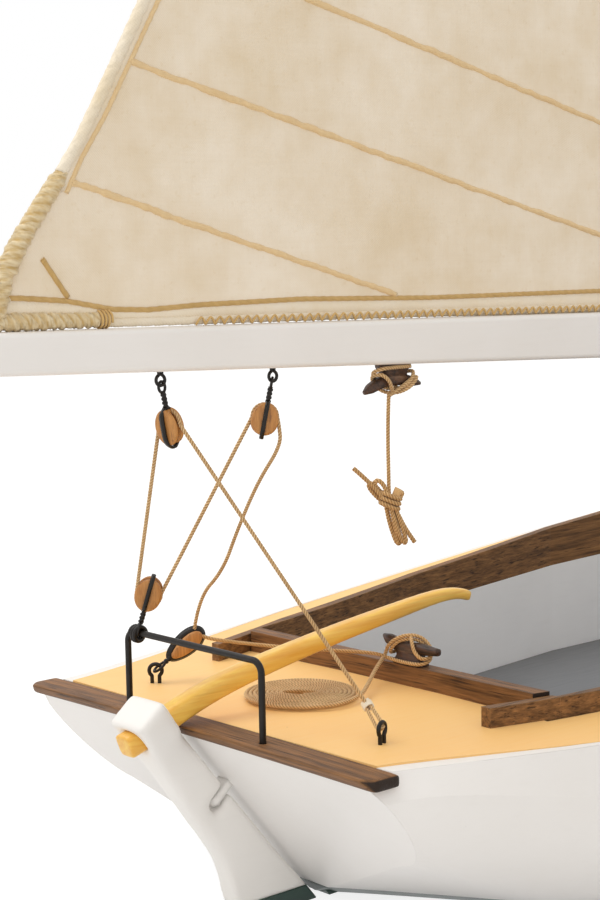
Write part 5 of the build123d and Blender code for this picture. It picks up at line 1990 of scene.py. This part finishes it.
@dataclass
class HangingLine:
    """The line that hangs from the boom's cleat and ends in a knotted hank."""

    finishes: Finishes
    diameter: float = 0.85
    route: Tuple[Place, ...] = (
        (-152.4, 0.0, 94.4), (-152.6, 0.1, 90.6), (-152.7, 0.2, 84.0), (-152.7, 0.1, 77.6))
    knot: Place = (-152.6, 0.0, 72.2)
    hank_diameter: float = 1.0
    right: Vector = field(default_factory=lambda: Vector((0.7452, -0.6665, 0.0)))
    out: Vector = field(default_factory=lambda: Vector((-0.6605, -0.7418, 0.0)))

    def flat(self, points: Sequence[Place]) -> Line:
        """Places points given right, up and out from the knot.

        Args:
            points: right, up and out, in millimetres.

        Returns:
            The drawing points.
        """
        middle = Vector(self.knot)
        return [middle + self.right * a + UP * b + self.out * c for a, b, c in points]

    def _strand(self, points: Sequence[Place]) -> Surface:
        """Lays one strand of the hank.

        Args:
            points: right, up and out, in millimetres.

        Returns:
            The strand.
        """
        line = smooth_route([tuple(p) for p in self.flat(points)], 0.19)
        return ROPE.rope(line, self.hank_diameter)

    def build(self) -> None:
        """Makes the line, its knot and the hank's bights."""
        turns = smooth_route(CLEAT_TURNS.on_boom_cleat(), 0.3)
        ROPE.rope(turns, self.diameter).piece("cleat_hitch", Body.BOOM, self.finishes.pale_rope,
                                              "rope")
        through = self.flat([(-0.15, 2.4, -0.1), (0.0, 0.0, 0.1), (0.5, -3.0, 0.2),
                             (1.1, -6.0, 0.1), (1.7, -8.6, 0.0)])
        line = smooth_route([*self.route, *[tuple(p) for p in through]], 0.19)
        rope = ROPE.rope(line, self.diameter).piece("hanging_rope", Body.BOOM,
                                                    self.finishes.rope, "rope")
        bights = self._bights()
        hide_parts("hanging_line", "line_hank")
        [at(*p) for p in resampled(line, 0.4)]
        LOG.info("hanging line: %.0f mm", line_length(line))

    def _bights(self) -> bpy.types.Object:
        """Makes the hank's loops, its knot and its two ends.

        Returns:
            The piece.
        """
        whole = Surface()
        for points in (
            [(-0.7, -1.0, -0.5), (-0.3, -3.5, -0.5), (0.6, -6.6, -0.4), (1.3, -8.5, -0.3),
             (2.0, -8.6, -0.3), (2.1, -7.4, -0.4), (1.2, -4.2, -0.6), (0.6, -1.0, -0.6)],
            [(0.1, -1.0, 0.75), (0.7, -3.0, 0.85), (1.6, -6.2, 0.7), (2.6, -8.4, 0.5),
             (3.2, -8.2, 0.4), (2.9, -6.8, 0.5), (1.9, -3.6, 0.6), (1.1, -1.0, 0.5)],
            [(0.9, -1.0, 0.2), (1.9, -3.2, 0.3), (3.2, -5.8, 0.2), (4.9, -8.3, 0.0)],
            [(0.2, -0.5, 0.2), (-0.5, 1.9, 0.5), (-1.3, 3.7, 0.5), (-2.3, 4.5, 0.3),
             (-3.1, 4.0, 0.1), (-2.6, 2.6, 0.0), (-1.4, 0.9, -0.1), (-0.4, -0.6, -0.2)],
            [(0.0, -0.6, -0.5), (-1.4, 1.4, -0.3), (-2.6, 3.0, -0.2), (-3.6, 3.9, -0.2),
             (-4.3, 3.4, -0.2), (-3.6, 2.1, -0.3), (-2.0, 0.4, -0.5), (-0.5, -0.9, -0.6)],
            [(-0.2, -0.6, 0.5), (-2.0, 1.7, 0.5), (-4.3, 4.3, 0.3), (-7.2, 6.9, 0.0)],
            [(0.3, -0.6, -0.1), (1.2, 1.0, 0.1), (1.9, 1.9, 0.2), (2.6, 1.9, 0.0),
             (2.3, 1.0, -0.3), (1.2, -0.6, -0.5)],
        ):
            whole.join(self._strand(points))
        tuft = smooth_loop(self.flat([(0.3, -0.4, 0.0), (1.2, 1.3, 0.2), (1.9, 2.6, 0.2)]), 4)
        whole.join(tube(tuft, lambda s: 0.62 + 0.3 * s, 10))
        wound = []
        for k in range(42):
            angle = 2 * math.pi * k / 14
            drop = 1.5 - 3.0 * k / 41
            wound.append((0.1 + 1.75 * math.cos(angle) + 0.2 * drop,
                          drop - 0.95 * math.cos(angle), 1.35 * math.sin(angle)))
        whole.join(self._strand(wound))
        return whole.piece("hank", Body.BOOM, self.finishes.rope, "rope")


@dataclass
class Rig:
    """Mast fittings, stay ends and lacings that finish the unseen part."""

    finishes: Finishes
    mast_x: float = 80.0
    mast_foot: float = 16.5
    mast_head: float = 652.0
    foot_radius: float = 5.0
    head_radius: float = 2.8
    hounds_z: float = 470.0

    def mast_radius(self, z: float) -> float:
        """Gives the mast's radius at a height."""
        share = (z - self.mast_foot) / (self.mast_head - self.mast_foot)
        return self.foot_radius + (self.head_radius - self.foot_radius) * share

    def build(self) -> None:
        """Makes every fitting."""
        self._luff_rings()
        self._mast_trim()
        self._stay_ends()

    def _luff_rings(self) -> None:
        """Laces the mainsail to the mast with spaced rings of cord."""
        whole = Surface()
        for k in range(16):
            z = 124.0 + 32.0 * k
            r = self.mast_radius(z)
            centre = Vector((self.mast_x - 1.6, 0, z))
            whole.join(hoop(centre, Vector((0.1, 0, 1)), r + 1.0, 0.42, (r + 5.6) / (r + 1.0),
                            Vector((1, 0, 0)), 36, 7))
        whole.piece("luff_rings", Body.HULL, self.finishes.pale_rope, "rope")

    def _mast_trim(self) -> None:
        """Caps the mast and hangs its halyard, made fast to a cleat."""
        top = Vector((self.mast_x, 0, self.mast_head - 0.4))
        turned(top, UP, [(0.0, 2.9), (0.4, 3.9), (1.4, 4.2), (2.3, 3.6), (2.9, 1.6)], 28).piece(
            "truck", Body.HULL, self.finishes.white, "white_paint")
        halyard = Surface()
        for side in (-1, 1):
            low = Vector((self.mast_x + 2.0, side * (self.foot_radius + 0.6), 84.0))
            high = Vector((self.mast_x - 0.5, side * 3.4, self.mast_head - 14.0))
            halyard.join(Lay(step=0.5, pitch=2.4).rope([low, high], 0.8))
        halyard.piece("halyards", Body.HULL, self.finishes.pale_rope, "rope")
        cleats = Surface()
        for side in (-1, 1):
            for k in (-1, 1):
                base = Vector((self.mast_x + 1.6, side * (self.foot_radius - 0.4), 82.0))
                tip = base + Vector((0, side * 1.9, k * 5.2))
                root = base + Vector((0, side * 1.6, 0))
                cleats.join(tube(smooth_loop([base, root, tip], 6),
                                 lambda s: 1.25 - 0.75 * s, 12))
        cleats.piece("mast_cleats", Body.HULL, self.finishes.dark_walnut, "walnut")

    def _stay_ends(self) -> None:
        """Adds turnbuckles above the chain plates and seizings at the hounds."""
        metal, wire = Surface(), Surface()
        for node in ("shroud_port", "shroud_starboard", "forestay"):
            low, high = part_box(node)
            low, high = low / MM, high / MM
            low.z -= PAINT_EDGE_Z
            high.z -= PAINT_EDGE_Z
            if node == "forestay":
                a, b = Vector((high.x - 0.5, 0, low.z)), Vector((low.x + 0.5, 0, high.z))
            else:
                side = 1 if node == "shroud_port" else -1
                a = Vector((low.x + 0.5, side * (max(abs(low.y), abs(high.y)) - 0.5), low.z))
                b = Vector((high.x - 0.5, side * (min(abs(low.y), abs(high.y)) + 0.5), high.z))
            run = (b - a).normalized()
            metal.join(turned(a + run * 2.0, run, [
                (0.0, 0.5), (0.4, 1.0), (1.6, 1.25), (3.0, 0.95), (7.0, 0.95), (8.4, 1.25),
                (9.6, 1.0), (10.0, 0.5)], 18))
            wire.join(Lay(strands=6, pitch=1.2, score=0.2, per_strand=2, step=0.3).rope(
                [b - run * 14.0, b - run * 2.0], 1.7))
        metal.piece("turnbuckles", Body.HULL, self.finishes.brass, "brass_fitting")
        wire.piece("stay_seizings", Body.HULL, self.finishes.black, "black_metal")


@dataclass
class JibTrim:
    """Seams, hanks and sheets of the jib."""

    sail: Sail
    finishes: Finishes

    def build(self) -> List[bpy.types.Object]:
        """Stitches the jib.

        Returns:
            The pieces on the sail.
        """
        stitches = Surface()
        (clew_x, clew_z), (tack_x, tack_z) = self.sail.leech[0], self.sail.luff[0]
        z = clew_z + 14.0
        while z < self.sail.leech[-1][1] - 12.0:
            back = self.sail.leech_x(z)
            line, x = [], back
            while x < tack_x:
                height = z - 0.24 * (x - back)
                front = self.sail.luff_x(height)
                if x > front - 1.0 or height < self.sail.foot_z(x) + 2.0:
                    break
                line.append((x, height))
                x += 3.0
            if len(line) > 3:
                stitches.join(STITCH.rope(self.sail.laid(line, 1.0), 1.0))
            z += 22.0
        for edge in (self.sail.leech, self.sail.luff):
            inset = 3.0 if edge is self.sail.leech else -3.0
            stitches.join(STITCH.rope(self.sail.laid([
                (x + inset, z) for x, z in edge[1:-1] if z > clew_z + 6], 1.0), 1.0))
        stitches.join(STITCH.rope(self.sail.laid([
            (clew_x + 5.0, clew_z + 2.6), (tack_x - 4.0, tack_z + 3.2)], 1.0), 1.0))
        return [stitches.piece("jib_stitches", Body.HULL, self.finishes.stitch, "sail_canvas")]

    def gear(self) -> None:
        """Makes the hanks on the forestay and the two sheets."""
        hanks = Surface()
        z = 92.0
        while z < 425.0:
            x = self.sail.luff_x(z)
            hanks.join(hoop(Vector((x + 0.5, 0, z)), Vector((0.3, 0, 1)), 1.25, 0.28, 1.25,
                            Vector((1, 0, 0)), 20, 7))
            z += 26.0
        hanks.piece("jib_hanks", Body.HULL, self.finishes.brass, "brass_fitting")
        clew_x, clew_z = self.sail.leech[0]
        whole, eyes = Surface(), Surface()
        for side in (-1, 1):
            foot = Vector((40.0, side * 66.0, 45.9))
            eyes.join(turned(foot - UP * 0.6, UP, [(0.0, 0.42), (1.2, 0.42)], 10))
            ring = foot + UP * 1.8
            eyes.join(hoop(ring, Vector((0, 1, 0.4 * side)), 1.35, 0.42))
            start = Vector((clew_x + 2.2, side * 0.5, clew_z + 1.4))
            whole.join(ROPE.rope(smooth_loop([start, start + Vector((-2.6, side * 1.2, -1.2)),
                                              ring + Vector((1.5, -side * 2.0, 2.0)), ring], 30),
                                 0.85))
        whole.piece("jib_sheets", Body.HULL, self.finishes.pale_rope, "rope")
        eyes.piece("jib_sheet_eyes", Body.HULL, self.finishes.black, "black_metal")


class Dresser:
    """Gives every CAD node that stays in sight its finish."""

    def __init__(self, nodes: Dict[str, bpy.types.Object], finishes: Finishes) -> None:
        """Keeps the nodes and the finishes."""
        self.nodes = nodes
        self.finishes = finishes

    def plan(self) -> Dict[str, bpy.types.Material]:
        """Names the finish of each node.

        Returns:
            The material by node name.
        """
        f = self.finishes
        made = {}
        for material, names in (
            (f.white, "hull_topsides stem mast boom"),
            (f.soft_white, "rudder_head gudgeons pintles"),
            (f.green, "hull_bottom keel rudder_blade"), (f.deck, "deck"),
            (f.walnut_across, "transom_cap coaming_aft coaming_forward"),
            (f.walnut_along, "coaming_port coaming_starboard mast_collar"),
            (f.dark_walnut, "sheet_cleat boom_cleat"), (f.tiller, "tiller"),
            (f.well, "cockpit_side_port cockpit_side_starboard cockpit_bulkhead_aft "
                     "cockpit_bulkhead_forward"), (f.sole, "cockpit_sole"),
            (f.block, "horse_block deck_block boom_block_aft boom_block_forward"),
            (f.black, "traveller_horse deck_eye_port deck_eye_starboard boom_eye_aft "
                      "boom_eye_forward"),
            (f.brass, "gooseneck_band gooseneck_tang hounds_band "
                      "chainplate_port chainplate_starboard stem_fitting"),
            (f.wire, "forestay shroud_port shroud_starboard"), (f.canvas, "mainsail jib"),
            (f.rope, "sheet_tail sheet_coil hanging_line line_hank"),
        ):
            for name in names.split():
                made[name] = material
        return made

    def dress(self) -> None:
        """Puts each finish in its node's material slots."""
        plan = self.plan()
        for name, node in self.nodes.items():
            material = plan[name]
            if not node.material_slots:
                node.data.materials.append(material)
            for slot in node.material_slots:
                slot.material = material


# Height in millimetres over which the sanding of a whittled piece fades in.
SAND_FADE = 6.0


@dataclass(frozen=True)
class Whittled:
    """A copy of a node with its edges sanded round, which stands for the node."""

    node: str
    body: Body
    slot: str
    cell: float
    passes: int
    sharp_below: float = -1000.0
    droop: float = 0.0

    def build(self, source: bpy.types.Object, finish: bpy.types.Material) -> None:
        """Makes the rounded copy.

        Args:
            source: the node's object.
            finish: its material.
        """
        holder = bpy.data.objects.new("cells", source.data.copy())
        bpy.context.scene.collection.objects.link(holder)
        cells = holder.modifiers.new("Cells", "REMESH")
        cells.mode = "VOXEL"
        cells.voxel_size = self.cell * MM
        graph = bpy.context.evaluated_depsgraph_get()
        mesh = bpy.data.meshes.new_from_object(holder.evaluated_get(graph))
        bpy.data.objects.remove(holder)
        self._sand(mesh)
        mesh.name = self.node + "_whittled"
        mesh.shade_smooth()
        mesh.materials.clear()
        mesh.materials.append(finish)
        made = bpy.data.objects.new(mesh.name, mesh)
        bpy.context.scene.collection.objects.link(made)
        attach(made, self.body.value)
        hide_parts(self.node)
        LOG.info("%s: %d faces", mesh.name, len(mesh.polygons))

    def _sand(self, mesh: bpy.types.Mesh) -> None:
        """Averages each point with its neighbours, again and again.

        Args:
            mesh: the mesh to smooth.
        """
        count = len(mesh.vertices)
        places = np.empty(count * 3, dtype=np.float32)
        mesh.vertices.foreach_get("co", places)
        places = places.reshape(-1, 3).astype(float)
        pairs = np.empty(len(mesh.edges) * 2, dtype=np.int32)
        mesh.edges.foreach_get("vertices", pairs)
        first, second = pairs[0::2], pairs[1::2]
        links = np.bincount(first, minlength=count) + np.bincount(second, minlength=count)
        height = places[:, 2] / MM - PAINT_EDGE_Z
        free = np.clip((height - self.sharp_below) / SAND_FADE, 0.0, 1.0)[:, None] * 0.5
        for _ in range(self.passes):
            total = np.zeros_like(places)
            for axis in range(3):
                total[:, axis] = (
                    np.bincount(first, places[second, axis], count)
                    + np.bincount(second, places[first, axis], count))
            places += (total / np.maximum(links, 1)[:, None] - places) * free
        half = np.abs(places[:, 1]).max()
        places[:, 2] -= self.droop * MM * (places[:, 1] / half) ** 2
        mesh.vertices.foreach_set("co", places.astype(np.float32).ravel())
        mesh.update()


WHITTLED = (
    Whittled("rudder_head", Body.RUDDER, "white_paint", cell=0.36, passes=42, sharp_below=3.0),
    Whittled("transom_cap", Body.HULL, "walnut", cell=0.3, passes=16, droop=0.45),
    Whittled("tiller", Body.RUDDER, "varnished_wood", cell=0.3, passes=9))


def mainsail() -> Sail:
    """Lays out the mainsail from the measured leech.

    Returns:
        The sail.
    """
    top = BOOM_LINE.top(68.0) + 0.3
    luff = ((68.2, top), (68.2, 633.0))
    leech = ((-245.2, 112.0), (-242.4, 121.2), (-236.9, 129.1), (-231.8, 135.2), (-226.1, 142.8),
             (-216.9, 157.8), (-211.4, 167.0), (-192.5, 200.0), (-163.9, 250.0), (-135.0, 300.0),
             (-105.8, 350.0), (-76.4, 400.0), (-46.6, 450.0), (-16.4, 500.0), (14.2, 550.0),
             (45.0, 600.0), (62.6, 630.0))
    return Sail("mainsail", Body.BOOM, luff, leech)


def jib() -> Sail:
    """Lays out the jib between the forestay and the mast.

    Returns:
        The sail.
    """
    low, high = Vector((219.0, 0, 62.95)), Vector((84.68, 0, 470.0))

    def stay_x(z: float) -> float:
        """Gives the x of the luff just behind the forestay."""
        return low.x + (high.x - low.x) * (z - low.z) / (high.z - low.z) - 0.9

    luff = tuple((stay_x(z), z) for z in (82.5, 130.0, 180.0, 230.0, 280.0, 330.0, 380.0, 429.0))
    leech = ((96.2, 104.0), (94.9, 150.0), (94.0, 200.0), (93.7, 250.0), (93.8, 300.0),
             (94.3, 350.0), (94.6, 390.0), (94.2, 427.0))
    return Sail("jib", Body.HULL, luff, leech, rows=100, columns=44)


def main() -> None:
    """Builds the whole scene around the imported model."""
    logging.basicConfig(level=logging.INFO, format="%(message)s")
    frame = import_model()
    finishes = Finishes()
    Camera().build()
    Studio().build()
    SpareSheet(finishes).build()
    HangingLine(finishes).build()
    dresser = Dresser(frame["nodes"], finishes)
    dresser.dress()
    for whittled in WHITTLED:
        whittled.build(frame["nodes"][whittled.node], dresser.plan()[whittled.node])
    main_sail, fore_sail = mainsail(), jib()
    main_sail.build(finishes.canvas, ["boom", "mast"], MainsailTrim(main_sail, finishes).build())
    jib_trim = JibTrim(fore_sail, finishes)
    fore_sail.build(finishes.canvas, ["forestay"], jib_trim.build())
    jib_trim.gear()
    Mainsheet(finishes).build()
    for cleat in CLEAT_TURNS.cleats():
        cleat.build(finishes)
    Rig(finishes).build()


if __name__ == "__main__":
    main()
